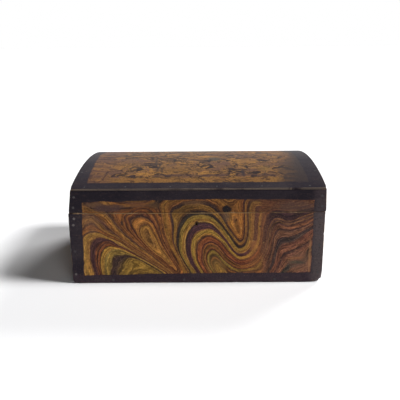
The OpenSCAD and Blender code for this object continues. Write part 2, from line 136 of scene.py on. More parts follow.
def spline_points(pts, gap):
    """Points about gap apart on a Catmull-Rom curve through pts."""
    p = np.array(pts, float)
    if len(p) > 2:
        q = np.vstack([2 * p[0] - p[1], p, 2 * p[-1] - p[-2]])
        out = []
        for i in range(1, len(q) - 2):
            t = np.linspace(0, 1, 9)[:-1, None]
            a, b, c, d = q[i - 1], q[i], q[i + 1], q[i + 2]
            out.append(0.5 * (2 * b + (c - a) * t + (2 * a - 5 * b + 4 * c - d) * t ** 2 + (3 * b - a - 3 * c + d) * t ** 3))
        p = np.vstack(out + [p[-1:]])
    s = np.concatenate([[0], np.cumsum(np.hypot(*np.diff(p, axis=0).T))])
    n = max(2, int(s[-1] / gap) + 1)
    u = np.linspace(0, s[-1], n)
    return np.stack([np.interp(u, s, p[:, 0]), np.interp(u, s, p[:, 1])], 1)


class Level:
    """A smooth level over the strokes (thin-plate spline)."""

    def __init__(self, strokes, gap=5.0, soft=14.0):
        pts, val = [], []
        for v, c in strokes:
            q = spline_points(c, gap)
            pts.append(q)
            val.append(np.full(len(q), v))
        self.p = np.vstack(pts) / 100
        v = np.concatenate(val)
        n = len(v)
        k = self.kernel(self.p, self.p) + np.eye(n) * soft * 1e-4
        q = np.hstack([np.ones((n, 1)), self.p])
        a = np.block([[k, q], [q.T, np.zeros((3, 3))]])
        self.w = np.linalg.solve(a, np.concatenate([v, np.zeros(3)]))

    @staticmethod
    def kernel(a, b):
        d = ((a[:, None, :] - b[None, :, :]) ** 2).sum(-1)
        return 0.5 * d * np.log(d + 1e-9)

    def __call__(self, x, z):
        q = np.stack([x, z], 1) / 100
        out = np.zeros(len(q))
        for i in range(0, len(q), 8000):
            c = q[i:i + 8000]
            out[i:i + 8000] = self.kernel(c, self.p) @ self.w[:-3] + self.w[-3] + c @ self.w[-2:]
        return out


FRONT_LEVEL = Level(STROKES)


def spot(x, z, cx, cz, rx, rz, turn=0.0, soft=0.35, seed=1, rough=0.35, size=5.0):
    """A patch with an uneven edge: 1 inside, 0 outside."""
    c, s = math.cos(math.radians(turn)), math.sin(math.radians(turn))
    u, v = ((x - cx) * c + (z - cz) * s) / rx, (-(x - cx) * s + (z - cz) * c) / rz
    d = np.hypot(u, v) + (fbm(x / size, z / size, seed) - 0.5) * rough * 2
    return 1 - step(1 - soft, 1 + soft, d)


def lin(c):
    """sRGB 0-255 to linear."""
    v = np.asarray(c, float) / 255
    return np.where(v <= 0.04045, v / 12.92, ((v + 0.055) / 1.055) ** 2.4)


PANEL_GAIN = 1.18    # the front and the ends stand in softer light than the top
TOP_GAIN = 0.56


def paint(*rgb, gain=PANEL_GAIN):
    """The paint colour that shows about as rgb in the studio light."""
    return np.clip(lin(rgb) * gain, 0, 0.85)


MEAN_PAINT = lin((99, 66, 41)) * PANEL_GAIN


def punch(c, k=1.55):
    """More contrast round the panel's mean colour, and a touch warmer."""
    return np.clip(MEAN_PAINT * (c / MEAN_PAINT) ** k * np.array([1.09, 0.93, 0.85]), 0, 0.85)


def put_over(over, mask, rgb, gain=PANEL_GAIN):
    """Lays a patch over what is there: the colours blend by cover, and the cover adds up."""
    c = paint(*rgb, gain=gain)
    full = over[:, 3] * (1 - mask) + mask
    w = (mask / np.maximum(full, 1e-6))[:, None]
    over[:, :3] = over[:, :3] * (1 - w) + c[None, :] * w
    over[:, 3] = full


def front_paint(x, z):
    """Attributes of the front's paint at x, z in mm."""
    a = {"sw": FRONT_LEVEL(x, z)}
    xl = -172.7 + z / 130 * 4.7
    zb = np.interp(x, [-173, -60, 0, 173], [13, 15, 16, 16])
    zt = np.interp(x, [-168, -67, 27, 172], [129.2, 131.5, 133.0, 130.8])
    a["bd"] = np.minimum(np.minimum(x - xl, 172.6 - x), np.minimum(z - zb, zt - z))
    xb = np.interp(z, [16, 22, 51, 72, 93, 111, 124, 150], [-20, -24, -38, -48, -52, -53, -59, -66])
    a["rl"] = 1 - step(-1.5, 1.5, x - xb)
    a["rr"] = step(90, 99, x + 0.12 * (z - 60) * (z < 60))
    o = np.zeros((len(x), 4))
    put_over(o, 0.75 * spot(x, z, -150, 125, 13, 3.5, 0, seed=3), (100, 73, 50))
    put_over(o, 0.85 * spot(x, z, -129, 120, 22, 5.5, 2, seed=5, size=7), (70, 50, 46))
    put_over(o, 0.70 * spot(x, z, -86, 125, 15, 4.2, 0, seed=7), (108, 70, 43))
    put_over(o, 0.60 * spot(x, z, -61, 124, 8, 5, 0, seed=8), (80, 58, 36))
    put_over(o, 0.45 * spot(x, z, -4, 127, 18, 4, 0, seed=9), (116, 82, 48))
    put_over(o, 0.55 * spot(x, z, 145, 121, 26, 9, 0, soft=.5, seed=11, size=6), (82, 63, 54))
    put_over(o, 0.60 * spot(x, z, 140, 115, 12, 1.5, 0, seed=12), (106, 72, 50))
    put_over(o, 0.40 * spot(x, z, -157, 96, 13, 14, 0, soft=.5, seed=13, size=6), (98, 71, 54))
    put_over(o, 0.55 * spot(x, z, 155, 35, 14, 16, 20, soft=.6, seed=14, size=8), (99, 68, 52))
    put_over(o, 0.70 * spot(x, z, 150, 33, 12, 2.4, -3, seed=26), (50, 50, 42))
    put_over(o, 0.55 * spot(x, z, 147, 39.5, 13, 1.7, 4, seed=27), (122, 78, 46))
    put_over(o, 0.55 * spot(x, z, 169.5, 42, 1.8, 26, 0, seed=28, size=4, rough=.6), (132, 92, 60))
    put_over(o, 0.50 * spot(x, z, 86, 60, 6, 8, 20, soft=.5, seed=29, size=3, rough=.7), (142, 92, 50))
    put_over(o, 0.35 * spot(x, z, 30, 28, 14, 12, 0, soft=.5, seed=15), (112, 86, 42))
    put_over(o, 0.68 * spot(x, z, 44, 106, 4.6, 9, 10, soft=.6, seed=18, size=4), (66, 55, 46))
    put_over(o, 1.00 * spot(x, z, 44.6, 117.6, 6.2, 5.4, 0, soft=.2, seed=19, size=4), (16, 11, 16))
    # painted shade: a dark ring round the keyhole, so that the hole looks darker and deeper
    put_over(o, 0.9 * spot(x, z, 0, 96.0, 2.9, 3.1, 0, soft=.25, seed=24, size=2), (24, 18, 18))
    for cx, cz, r in [(-111, 96.9, 0), (11.7, 126.4, 1.1), (94, 90.2, 1.3), (42.2, 46, 1.2), (-135.9, 107.4, 1.1), (22, 77, .8), (-46, 90, .7), (133, 60, .8)]:
        if r:
            put_over(o, 0.85 * spot(x, z, cx, cz, r + .3, r, 0, soft=.3, seed=21), (34, 28, 26))
    # painted shade: a small hole drawn only as a dark spot, with no hole cut there
    put_over(o, 0.95 * spot(x, z, -110.9, 96.7, 1.7, 3.6, 4, soft=.2, rough=.12, seed=22), (30, 25, 24))
    for cx, cz, r in [(66, 88, 1.1), (43, 60, .9), (84, 68, .9), (100, 65, 1.0), (-62, 70, .8), (-20, 40, .8), (120, 118, .8)]:
        put_over(o, 0.8 * spot(x, z, cx, cz, r, r * .8, 20, soft=.4, seed=23, size=2), (150, 118, 74))
    # the arris of the case shows as a thin pale line along the seam, except on the right
    line = step(110.6, 111.1, z) * step(112.2, 111.95, z) * step(150, 120, x) * step(-0.1, 0.5, fbm(x / 13, z * 0, 25, 3) - 0.22)
    put_over(o, 0.62 * line, (134, 108, 74))
    a["over"] = o
    a["veil"] = np.clip(0.35 * step(-135, -172, x) + 0.6 * step(100, 150, x) * step(90, 30, z) + 0.5 * step(95, 130, x) * step(100, 118, z)
                        + 0.25 * step(110, 125, z), 0, 1)
    return a


def swirls(u, v, centres, base):
    """Straight combing turned round some centres: (u, v, turns, size)."""
    for cu, cv, turn, size in centres:
        du, dv = u - cu, v - cv
        t = turn * np.exp(-(du * du + dv * dv) / (size * size))
        u, v = cu + du * np.cos(t) - dv * np.sin(t), cv + du * np.sin(t) + dv * np.cos(t)
    return base + v / 4.6 + 1.3 * np.sin(u / 31) + 0.8 * np.sin(u / 13 + 1)


def end_paint(side):
    """The paint of the left or right end: y runs along it."""
    def fn(y, z):
        u = y * side
        if side > 0:
            lv = swirls(u, z, [(-70, 60, 2.6, 42), (5, 88, -2.9, 40), (66, 48, 2.8, 44), (110, 110, -1.4, 30)], 14)
        else:
            lv = swirls(u, z, [(-84, 92, -2.4, 36), (-30, 40, 2.9, 46), (38, 84, -2.7, 42), (92, 50, 2.3, 38)], 12)
        lv = 17.5 + 14.5 * np.sin(lv / 11.0 + side)
        a = {"sw": lv}
        a["bd"] = np.minimum(114.5 - np.abs(y + 1.5 * side), np.minimum(z - 15.2, 131.5 - z))
        a["rl"] = step(-20, 20, 40 * (fbm(y / 60, z / 60, 31 + side, 2) - .5) * 3)
        a["rr"] = np.zeros(len(y))
        o = np.zeros((len(y), 4))
        put_over(o, 0.5 * spot(y, z, 20 * side, 70, 18, 10, 30, soft=.6, seed=41 + side), (92, 66, 48))
        put_over(o, 0.8 * spot(y, z, -52 * side, 96, 2.0, 1.4, 0, seed=44), (36, 30, 30))
        put_over(o, 0.8 * spot(y, z, 74 * side, 34, 1.6, 1.6, 0, seed=45), (150, 118, 74))
        a["over"] = o
        a["veil"] = 0.25 + 0.4 * step(90, 40, z) * step(-60, 60, y)
        return a
    return fn


def top_paint(x, y):
    """The paint of the bent top at x, y in mm."""
    xl = np.interp(y, [-115, 27, 134], [-162.5, -168.0, -168.0])
    a = {"bd": np.minimum(np.minimum(x - xl, 166.5 - x), np.minimum(y + 115, 115.5 - y))}
    # the ochre shows clear along the front of the panel, and in a few patches
    clear = step(-94, -99, y + 9 * (fbm(x / 12, y / 14, 58, 3) - .5)) * step(136, 122, x) * step(-150, -118, x + 30 * (fbm(x / 9, y / 9, 60, 2) - .5)) * 0.95
    clear = np.maximum(clear, 0.75 * spot(x, y, -26, -64, 31, 20, 5, soft=.5, seed=51, size=12))
    clear = np.maximum(clear, 0.85 * spot(x, y, 107, -62, 11, 13, 0, soft=.35, seed=52, size=8))
    clear = np.maximum(clear, 0.55 * spot(x, y, -120, -40, 22, 16, 0, soft=.6, seed=53, size=9))
    a["clear"] = clear
    o = np.zeros((len(x), 4))
    g = TOP_GAIN
    put_over(o, 0.92 * step(138, 158, x + 14 * (fbm(x / 10, y / 14, 66, 3) - .5) - 16 * step(-80, 20, y)), (46, 40, 43), g)
    put_over(o, 0.80 * step(114, 138, x + 20 * (fbm(x / 12, y / 14, 59, 3) - .5) - 30 * step(-80, 20, y)), (58, 47, 46), g)
    put_over(o, 0.50 * step(-112, -146, x + 18 * (fbm(x / 10, y / 16, 61, 3) - .5)), (98, 66, 56), g)
    band = step(-95, -91.5, y + 3 * (fbm(x / 9, y / 9, 62, 2) - .5)) * step(-83, -88, y + 6 * (fbm(x / 7, y / 9, 63, 2) - .5)) * step(-118, -100, x) * step(132, 118, x)
    put_over(o, 0.70 * band * step(0.30, 0.55, fbm(x / 16, y / 14, 64, 3)), (74, 52, 50), g)
    put_over(o, 0.60 * step(-107, -104, y) * step(-100, -104, y) * step(-112, -104, x) * step(126, 116, x) * step(0.40, 0.60, fbm(x / 22, y / 22, 65, 3)), (148, 98, 56), g)
    for cx, cy, rx, ry, t in [(-66, -24, 2.2, 22, 4), (-60, -52, 1.8, 20, -6), (-54, -66, 1.4, 12, 3), (-72, -40, 1.6, 14, 8)]:
        put_over(o, 0.8 * spot(x, y, cx, cy, rx, ry, t, seed=54, rough=.5, size=6), (62, 48, 42), g)
    put_over(o, 0.75 * spot(x, y, 29, -3, 9, 14, 10, seed=55, rough=.5, size=8), (74, 68, 60), g)
    put_over(o, 0.85 * spot(x, y, 71.5, -80, 2.6, 17, 2, seed=56, rough=.3, size=6), (58, 44, 44), g)
    put_over(o, 0.45 * spot(x, y, 107, -62, 9, 11, 0, seed=57, size=6), (140, 108, 62), g)
    a["over"] = o
    return a


# ------------------------------------------------------------------ meshes
def lines(lo, hi, gap, fine=(0, 0.35, 0.8, 1.4, 2.1, 3.0, 4.2, 5.6, 7.4, 9.6), at=(True, True)):
    """Grid lines from lo to hi, closer at the ends."""
    a = [lo + f for f in fine if at[0] and f < (hi - lo) * 0.45]
    b = [hi - f for f in fine if at[1] and f < (hi - lo) * 0.45]
    s, e = (max(a) if a else lo), (min(b) if b else hi)
    n = max(1, int(round((e - s) / gap)))
    return np.array(sorted(set(np.round(a + b + list(np.linspace(s, e, n + 1)), 4))))


def grid_box(xs, ys, zs):
    """The surface of a box on a grid: vertices and outward quads."""
    nx, ny, nz = len(xs), len(ys), len(zs)
    ids = np.full((nx, ny, nz), -1, np.int64)
    on = np.zeros((nx, ny, nz), bool)
    on[0], on[-1], on[:, 0], on[:, -1], on[:, :, 0], on[:, :, -1] = (True,) * 6
    ids[on] = np.arange(on.sum())
    i, j, k = np.nonzero(on)
    v = np.stack([xs[i], ys[j], zs[k]], 1)

    def quads(s, flip):
        q = np.stack([s[:-1, :-1], s[1:, :-1], s[1:, 1:], s[:-1, 1:]], -1).reshape(-1, 4)
        return q[:, ::-1] if flip else q

    f = [quads(ids[0], True), quads(ids[-1], False), quads(ids[:, 0], False), quads(ids[:, -1], True),
         quads(ids[:, :, 0], True), quads(ids[:, :, -1], False)]
    return v, np.vstack(f)


def planes_case():
    """Outer faces of the case as (point, inward normal)."""
    return [((-HW + SKIN, 0, 0), (1, 0, 0)), ((HW - SKIN, 0, 0), (-1, 0, 0)), ((0, -HD + SKIN, 0), (0, 1, 0)),
            ((0, HD, 0), (0, -1, 0)), ((0, 0, 0), (0, 0, 1)), ((0, 0, HC), (0, 0, -1))]


def planes_lid():
    h = ZE - ZL
    nl = np.array([h, 0, -(XL1 - XL0)]) / math.hypot(h, XL1 - XL0)
    nr = np.array([-h, 0, -(XR0 - XR1)]) / math.hypot(h, XR0 - XR1)
    return [((XL0 + SKIN, 0, ZL), nl), ((XR0 - SKIN, 0, ZL), nr), ((0, -HD + SKIN, 0), (0, 1, 0)),
            ((0, HD, 0), (0, -1, 0)), ((0, 0, ZL), (0, 0, 1))]


def plane_distance(p, planes):
    return np.stack([((p - np.array(o, float)) @ np.array(n, float)) for o, n in planes], 1)


def soften(p, planes, radius):
    """Rounds the edges and corners where the planes meet. radius may differ from point to point."""
    d = plane_distance(p, planes)
    r = np.broadcast_to(radius, (len(p),))
    e = np.clip(r[:, None] - np.clip(d, 0, None), 0, None)
    norm = np.sqrt((e * e).sum(1))
    k = np.where(norm > r, r / np.maximum(norm, 1e-9), 1.0)
    push = e * (1 - k[:, None])
    for i, (_, n) in enumerate(planes):
        p = p + push[:, i:i + 1] * np.array(n, float)
    return p


def edge_distance(p, planes):
    """Distance to the nearest edge along the outer faces: the second smallest distance to a plane."""
    d = np.sort(np.abs(plane_distance(p, planes)), 1)
    return d[:, 1]


def case_radius(p):
    """How round the worn edges of the case are."""
    x, y, z = p.T
    r = 0.9 + 1.1 * fbm((x + y) / 23, (z + y * .6) / 19, 71, 3)
    br = np.hypot((x - HW) / 16, z / 16) + np.clip((y + HD) / 26, 0, 9)
    r = np.maximum(r, 9.0 * np.exp(-br ** 2))
    bl = np.hypot((x + HW) / 9, z / 9) + np.clip((y + HD) / 18, 0, 9)
    r = np.maximum(r, 3.8 * np.exp(-bl ** 2))
    back = np.hypot((np.abs(x) - HW) / 10, z / 10) + np.abs(y - HD) / 10
    r = np.maximum(r, 3.2 * np.exp(-back ** 2))
    top = np.hypot((x + HW) / 6, (z - HC) / 6) + np.clip((y + HD) / 14, 0, 9)
    r = np.maximum(r, 2.3 * np.exp(-top ** 2))
    return np.where(z > HC - 2.2, np.minimum(r, 0.55 + 2.0 * np.exp(-(np.hypot(x + HW, z - HC) / 8) ** 2)), r)


def lid_radius(p):
    x, y, z = p.T
    r = 0.7 + 0.9 * fbm((x + y) / 21, (z - y * .5) / 17, 73, 3)
    c = np.hypot((np.abs(x) - 190) / 8, (z - ZL) / 7) + np.clip((y + HD) / 16, 0, 9)
    r = np.maximum(r, 2.2 * np.exp(-c ** 2))
    return np.where((z < ZL + 2.2) & (np.abs(x) < 180), np.minimum(r, 0.55), r)


def knocks(p, spots):
    """Small dents: (x, y, z, radius, depth, direction)."""
    for x, y, z, r, d, n in spots:
        w = np.exp(-(((p - np.array([x, y, z], float)) / r) ** 2).sum(1))
        p = p + w[:, None] * d * np.array(n, float)
    return p


def to_mesh(name, v, f, body, stands_for):
    me = bpy.data.meshes.new(name)
    me.vertices.add(len(v))
    me.vertices.foreach_set("co", (np.asarray(v) * 0.001).ravel())
    me.loops.add(len(f) * 4)
    me.loops.foreach_set("vertex_index", np.asarray(f).ravel())
    me.polygons.add(len(f))
    me.polygons.foreach_set("loop_start", np.arange(len(f)) * 4)
    me.polygons.foreach_set("loop_total", np.full(len(f), 4))
    me.update()
    me.validate()
    o = bpy.data.objects.new(name, me)
    bpy.context.scene.collection.objects.link(o)
    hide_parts(*stands_for)
    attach(o, body)
    return o


def cutter(name, solids):
    """One mesh of closed convex solids, each (bottom ring, top ring) of points in mm."""
    bm = bmesh.new()
    for lo, hi in solids:
        a = [bm.verts.new([c * 0.001 for c in q]) for q in lo]
        b = [bm.verts.new([c * 0.001 for c in q]) for q in hi]
        n = len(a)
        bm.faces.new(a[::-1])
        bm.faces.new(b)
        for i in range(n):
            bm.faces.new([a[i], a[(i + 1) % n], b[(i + 1) % n], b[i]])
    bmesh.ops.recalc_face_normals(bm, faces=bm.faces)
    me = bpy.data.meshes.new(name)
    bm.to_mesh(me)
    bm.free()
    o = bpy.data.objects.new(name, me)
    bpy.context.scene.collection.objects.link(o)
    return o


def block(x0, x1, y0, y1, z0, z1):
    return ([(x0, y0, z0), (x1, y0, z0), (x1, y1, z0), (x0, y1, z0)], [(x0, y0, z1), (x1, y0, z1), (x1, y1, z1), (x0, y1, z1)])


def rod_y(x, z, r, y0, y1, n=28):
    ring = [(x + r * math.cos(2 * math.pi * i / n), z + r * math.sin(2 * math.pi * i / n)) for i in range(n)]
    return ([(a, y0, b) for a, b in ring], [(a, y1, b) for a, b in ring])


def cut(o, solids):
    """Cuts each solid out of the object, one after the other."""
    for i, s in enumerate(solids):
        c = cutter(f"{o.name}_cut{i}", [s])
        m = o.modifiers.new("cut", "BOOLEAN")
        m.operation = "DIFFERENCE"
        m.solver = "MANIFOLD"
        m.object = c
        dg = bpy.context.evaluated_depsgraph_get()
        me = bpy.data.meshes.new_from_object(o.evaluated_get(dg))
        o.modifiers.remove(m)
        old = o.data
        o.data = me
        bpy.data.meshes.remove(old)
        bpy.data.objects.remove(c)


def coords(o):
    co = np.zeros(len(o.data.vertices) * 3, np.float32)
    o.data.vertices.foreach_get("co", co)
    return co.reshape(-1, 3).astype(float) * 1000


def write(o, name, values):
    values = np.asarray(values, np.float32)
    if values.ndim == 1:
        a = o.data.attributes.new(name, "FLOAT", "POINT")
        a.data.foreach_set("value", values)
    else:
        a = o.data.attributes.new(name, "FLOAT_COLOR", "POINT")
        a.data.foreach_set("color", values.ravel())


def materials(o, mats, choose):
    """choose(centres, normals) gives each face's index into mats."""
    o.data.materials.clear()
    for m in mats:
        o.data.materials.append(m)
    n = len(o.data.polygons)
    c, no = np.zeros(n * 3, np.float32), np.zeros(n * 3, np.float32)
    o.data.polygons.foreach_get("center", c)
    o.data.polygons.foreach_get("normal", no)
    o.data.polygons.foreach_set("material_index", choose(c.reshape(-1, 3).astype(float) * 1000, no.reshape(-1, 3).astype(float)).astype(np.int32))
    o.data.update()


def shade(o, angle=38):
    o.data.shade_smooth()
    o.data.set_sharp_from_angle(angle=math.radians(angle))


# ------------------------------------------------------------------ materials
class Mat:
    """A short way to write a node material. Values may be numbers, colours or sockets."""

    def __init__(self, name):
        self.m = bpy.data.materials.new(name)
        self.m.use_nodes = True
        self.t = self.m.node_tree
        self.b = self.t.nodes["Principled BSDF"]
        self._mm = None

    def put(self, socket, v):
        if isinstance(v, bpy.types.NodeSocket):
            self.t.links.new(v, socket)
        elif np.ndim(v) == 0:
            socket.default_value = float(v)
        else:
            v = [float(c) for c in v]
            socket.default_value = v + [1.0] if len(v) == 3 and len(socket.default_value) == 4 else v

    def set(self, **kw):
        for k, v in kw.items():
            self.put(self.b.inputs[k.replace("_", " ")], v)

    def mm(self):
        if self._mm is None:
            t = self.t.nodes.new("ShaderNodeTexCoord")
            n = self.t.nodes.new("ShaderNodeVectorMath")
            n.operation = "SCALE"
            n.inputs["Scale"].default_value = 1000
            self.t.links.new(t.outputs["Object"], n.inputs[0])
            self._mm = n.outputs[0]
        return self._mm

    def times(self, vec, s):
        n = self.t.nodes.new("ShaderNodeVectorMath")
        n.operation = "MULTIPLY"
        self.put(n.inputs[0], vec)
        n.inputs[1].default_value = s if np.ndim(s) else (s, s, s)
        return n.outputs[0]

    def shift(self, vec, s):
        n = self.t.nodes.new("ShaderNodeVectorMath")
        n.operation = "ADD"
        self.put(n.inputs[0], vec)
        self.put(n.inputs[1], s)
        return n.outputs[0]

    def xyz(self, vec):
        n = self.t.nodes.new("ShaderNodeSeparateXYZ")
        self.put(n.inputs[0], vec)
        return n.outputs

    def vec(self, x, y, z):
        n = self.t.nodes.new("ShaderNodeCombineXYZ")
        for i, v in enumerate((x, y, z)):
            self.put(n.inputs[i], v)
        return n.outputs[0]

    def op(self, o, a, b=0.0, c=0.0, clamp=False):
        n = self.t.nodes.new("ShaderNodeMath")
        n.operation = o
        n.use_clamp = clamp
        for i, v in enumerate((a, b, c)):
            self.put(n.inputs[i], v)
        return n.outputs[0]

    def rise(self, v, a, b):
        """0 below a, 1 above b, smooth between."""
        n = self.t.nodes.new("ShaderNodeMapRange")
        n.interpolation_type = "SMOOTHSTEP"
        self.put(n.inputs["Value"], v)
        if a < b:
            n.inputs["From Min"].default_value, n.inputs["From Max"].default_value = a, b
        else:
            n.inputs["From Min"].default_value, n.inputs["From Max"].default_value = b, a
            n.inputs["To Min"].default_value, n.inputs["To Max"].default_value = 1, 0
        return n.outputs[0]

    def mix(self, f, a, b, mode="MIX"):
        n = self.t.nodes.new("ShaderNodeMix")
        n.data_type = "RGBA"
        n.blend_type = mode
        n.clamp_factor = True
        self.put(n.inputs[0], f)
        self.put(n.inputs[6], a)
        self.put(n.inputs[7], b)
        return n.outputs[2]

    def noise(self, vec, scale=1.0, detail=3.0, rough=0.5, warp=0.0, color=False):
        n = self.t.nodes.new("ShaderNodeTexNoise")
        self.put(n.inputs["Vector"], vec)
        n.inputs["Scale"].default_value = scale
        n.inputs["Detail"].default_value = detail
        n.inputs["Roughness"].default_value = rough
        n.inputs["Distortion"].default_value = warp
        return n.outputs["Color" if color else "Fac"]

    def cells(self, vec, scale=1.0, feature="DISTANCE_TO_EDGE"):
        n = self.t.nodes.new("ShaderNodeTexVoronoi")
        n.feature = feature
        self.put(n.inputs["Vector"], vec)
        n.inputs["Scale"].default_value = scale
        return n.outputs["Distance"]

    def ramp(self, f, stops, mode="LINEAR"):
        n = self.t.nodes.new("ShaderNodeValToRGB")
        n.color_ramp.interpolation = mode
        e = n.color_ramp.elements
        while len(e) > 1:
            e.remove(e[-1])
        for i, (p, c) in enumerate(stops):
            q = e[0] if i == 0 else e.new(min(1, max(0, p)))
            if i == 0:
                q.position = min(1, max(0, p))
            c = (c, c, c) if np.ndim(c) == 0 else c
            q.color = [float(v) for v in c] + [1.0]
        self.put(n.inputs[0], f)
        return n.outputs[0]

    def levels(self, f, a, b, stops):
        """Colours over a level from a to b."""
        if len(stops) > 30:        # a colour ramp holds 32 stops
            k = len(stops) // 2
            cut_at = stops[k][0]
            lo, hi = self.levels(f, a, cut_at, stops[:k + 1]), self.levels(f, cut_at, b, stops[k:])
            return self.mix(self.op("GREATER_THAN", f, cut_at), lo, hi)
        v = self.op("DIVIDE", self.op("SUBTRACT", f, a), b - a, clamp=True)
        return self.ramp(v, [((s - a) / (b - a), punch(paint(*c))) for s, c in stops])

    def attr(self, name, out="Fac"):
        n = self.t.nodes.new("ShaderNodeAttribute")
        n.attribute_name = name
        return n.outputs[out]

    def bump(self, height, mm, strength=1.0, normal=None):
        n = self.t.nodes.new("ShaderNodeBump")
        n.inputs["Strength"].default_value = strength
        n.inputs["Distance"].default_value = mm * 0.001
        self.put(n.inputs["Height"], height)
        if normal is not None:
            self.t.links.new(normal, n.inputs["Normal"])
        return n.outputs[0]


LEFT = [(0.0, (108, 82, 42)), (1.3, (112, 86, 44)), (1.9, (70, 52, 38)), (2.4, (62, 45, 39)), (2.7, (72, 52, 40)),
        (3.0, (104, 82, 46)), (3.5, (118, 92, 48)), (3.9, (106, 86, 50)), (4.4, (126, 94, 49)), (5.0, (130, 98, 50)), (5.3, (66, 46, 35)),
        (5.7, (112, 70, 40)), (6.2, (60, 43, 36)), (6.6, (104, 66, 40)), (7.1, (70, 46, 42)), (8.0, (78, 52, 45)),
        (8.4, (118, 86, 48)), (9.4, (127, 96, 53)), (9.8, (104, 74, 44)), (10.1, (62, 46, 38)), (10.5, (116, 78, 42)),
        (11.1, (110, 72, 40)), (11.5, (74, 50, 38)), (12.0, (118, 84, 46)), (12.7, (72, 50, 40)), (13.2, (112, 76, 42)),
        (13.8, (122, 88, 48)), (14.3, (70, 50, 42)), (14.8, (106, 72, 42)), (15.6, (84, 54, 38))]
PLUME = [(15.0, (96, 62, 38)), (15.6, (112, 74, 40)), (16.1, (66, 44, 36)), (16.7, (114, 76, 42)), (17.2, (92, 58, 38)),
         (17.7, (58, 42, 35)), (18.1, (118, 80, 43)), (18.9, (126, 88, 48)), (19.4, (84, 58, 38)), (19.9, (124, 90, 48)),
         (20.6, (120, 86, 47)), (21.2, (106, 76, 43)), (22.2, (114, 82, 45))]
MIDDLE = [(14.6, (62, 45, 36)), (15.1, (54, 40, 34)), (15.5, (112, 76, 41)), (16.2, (120, 88, 45)), (16.7, (104, 72, 40)),
          (17.1, (118, 84, 43)), (18.0, (112, 76, 42)), (18.4, (72, 50, 38)), (18.8, (60, 44, 38)), (19.1, (114, 84, 44)), (19.9, (108, 78, 42)),
          (20.3, (66, 46, 36)), (20.7, (52, 42, 34)), (21.2, (56, 46, 34)), (21.5, (108, 84, 45)), (22.5, (118, 92, 47)), (23.4, (112, 80, 42)),
          (23.9, (128, 98, 54)), (24.2, (78, 52, 40)), (24.6, (64, 44, 43)), (25.2, (78, 50, 46)), (25.5, (64, 44, 42)), (25.8, (92, 60, 42)), (26.0, (118, 90, 46)), (26.6, (126, 98, 50)),
          (27.0, (112, 80, 42)), (27.5, (64, 44, 36)), (28.0, (113, 70, 41)), (28.9, (106, 66, 42)), (29.4, (72, 46, 40)),
          (29.9, (114, 76, 41)), (30.3, (74, 50, 38)), (30.7, (116, 82, 43)), (31.2, (104, 66, 40)), (31.6, (62, 44, 36)),
          (32.0, (114, 88, 44)), (32.6, (96, 74, 40)), (32.9, (62, 46, 36)), (33.3, (112, 76, 41)), (33.8, (78, 54, 38)), (34.4, (118, 86, 44))]
RIGHT = [(25.6, (96, 64, 43)), (26.6, (104, 72, 46)), (27.3, (84, 56, 44)), (27.9, (104, 70, 46)), (28.5, (70, 48, 42)),
         (29.2, (62, 42, 40)), (30.4, (70, 48, 42)), (30.8, (100, 70, 47)), (31.3, (70, 50, 44)), (31.8, (102, 72, 48)),
         (32.3, (72, 50, 42)), (32.9, (104, 70, 48)), (33.4, (76, 54, 45)), (34.0, (100, 70, 50)), (34.6, (92, 64, 48)),
         (34.9, (66, 50, 43)), (35.7, (70, 54, 45)), (36.1, (100, 66, 49)), (37.2, (104, 70, 50)), (37.5, (70, 50, 43)),
         (37.9, (98, 66, 50)), (38.8, (102, 70, 50)), (39.1, (60, 54, 45)), (39.7, (64, 54, 46)), (40.2, (98, 68, 50)),
         (42.0, (92, 64, 50))]

WOOD = (168, 140, 106)


def worn(M, P, col, ed, low=0.0, high=1.0, tone=WOOD, much=1.0):
    """Paint rubbed off along the edges: first brown, then pale wood."""
    w1 = M.noise(M.times(P, 0.055), 1, 3, 0.6)
    w2 = M.noise(M.times(P, 0.42), 1, 4, 0.65)
    reach = M.op("MULTIPLY", M.op("SUBTRACT", M.op("MULTIPLY_ADD", w2, 0.55, w1), 0.66), 3.4 * much)
    wear = M.rise(M.op("SUBTRACT", reach, ed), low, high)
    brown = M.mix(w2, paint(84, 64, 48), paint(*tone))
    return M.mix(wear, col, brown), wear


def black_paint(M, P, brown=0.35, lift=1.0, right=0.0):
    """Worn black border paint: bluish black, browner where it is thin. lift matches the light that falls on it."""
    n1 = M.noise(M.times(P, (0.018, 0.018, 0.03)), 1, 3, 0.5)
    n2 = M.noise(M.times(P, (0.10, 0.35, 0.35)), 1, 5, 0.62)
    g = PANEL_GAIN * lift
    x, y, z = M.xyz(P)
    c = M.mix(M.rise(n1, 0.38, 0.66), paint(24, 18, 27, gain=g), paint(38, 32, 37, gain=g))
    # painted light: with right set, the front's border is painted lighter at its right end, where the light comes from
    # the right; it is also made a little lighter towards the bottom edge
    if right:
        right = M.op("MULTIPLY", M.rise(y, -128, -133), right)
        c = M.mix(M.op("MULTIPLY", M.rise(z, 17, 13), 0.28), c, paint(60, 42, 50, gain=g))
        c = M.mix(M.op("MULTIPLY", M.rise(x, 166, 180), right), c, paint(68, 59, 59, gain=g))
    c = M.mix(M.op("MULTIPLY", M.rise(n2, 0.5, 0.75), brown), c, paint(70, 54, 48, gain=g))
    n3 = M.noise(M.times(P, 0.9), 1, 3, 0.6)
    c = M.mix(M.rise(n3, 0.64, 0.72), c, paint(92, 78, 68, gain=g))
    n4 = M.noise(M.times(P, 0.6), 1, 4, 0.7)
    c = M.mix(M.op("MULTIPLY", M.rise(n4, 0.50, 0.36), 0.6), c, paint(10, 7, 12, gain=g))
    return c, n2


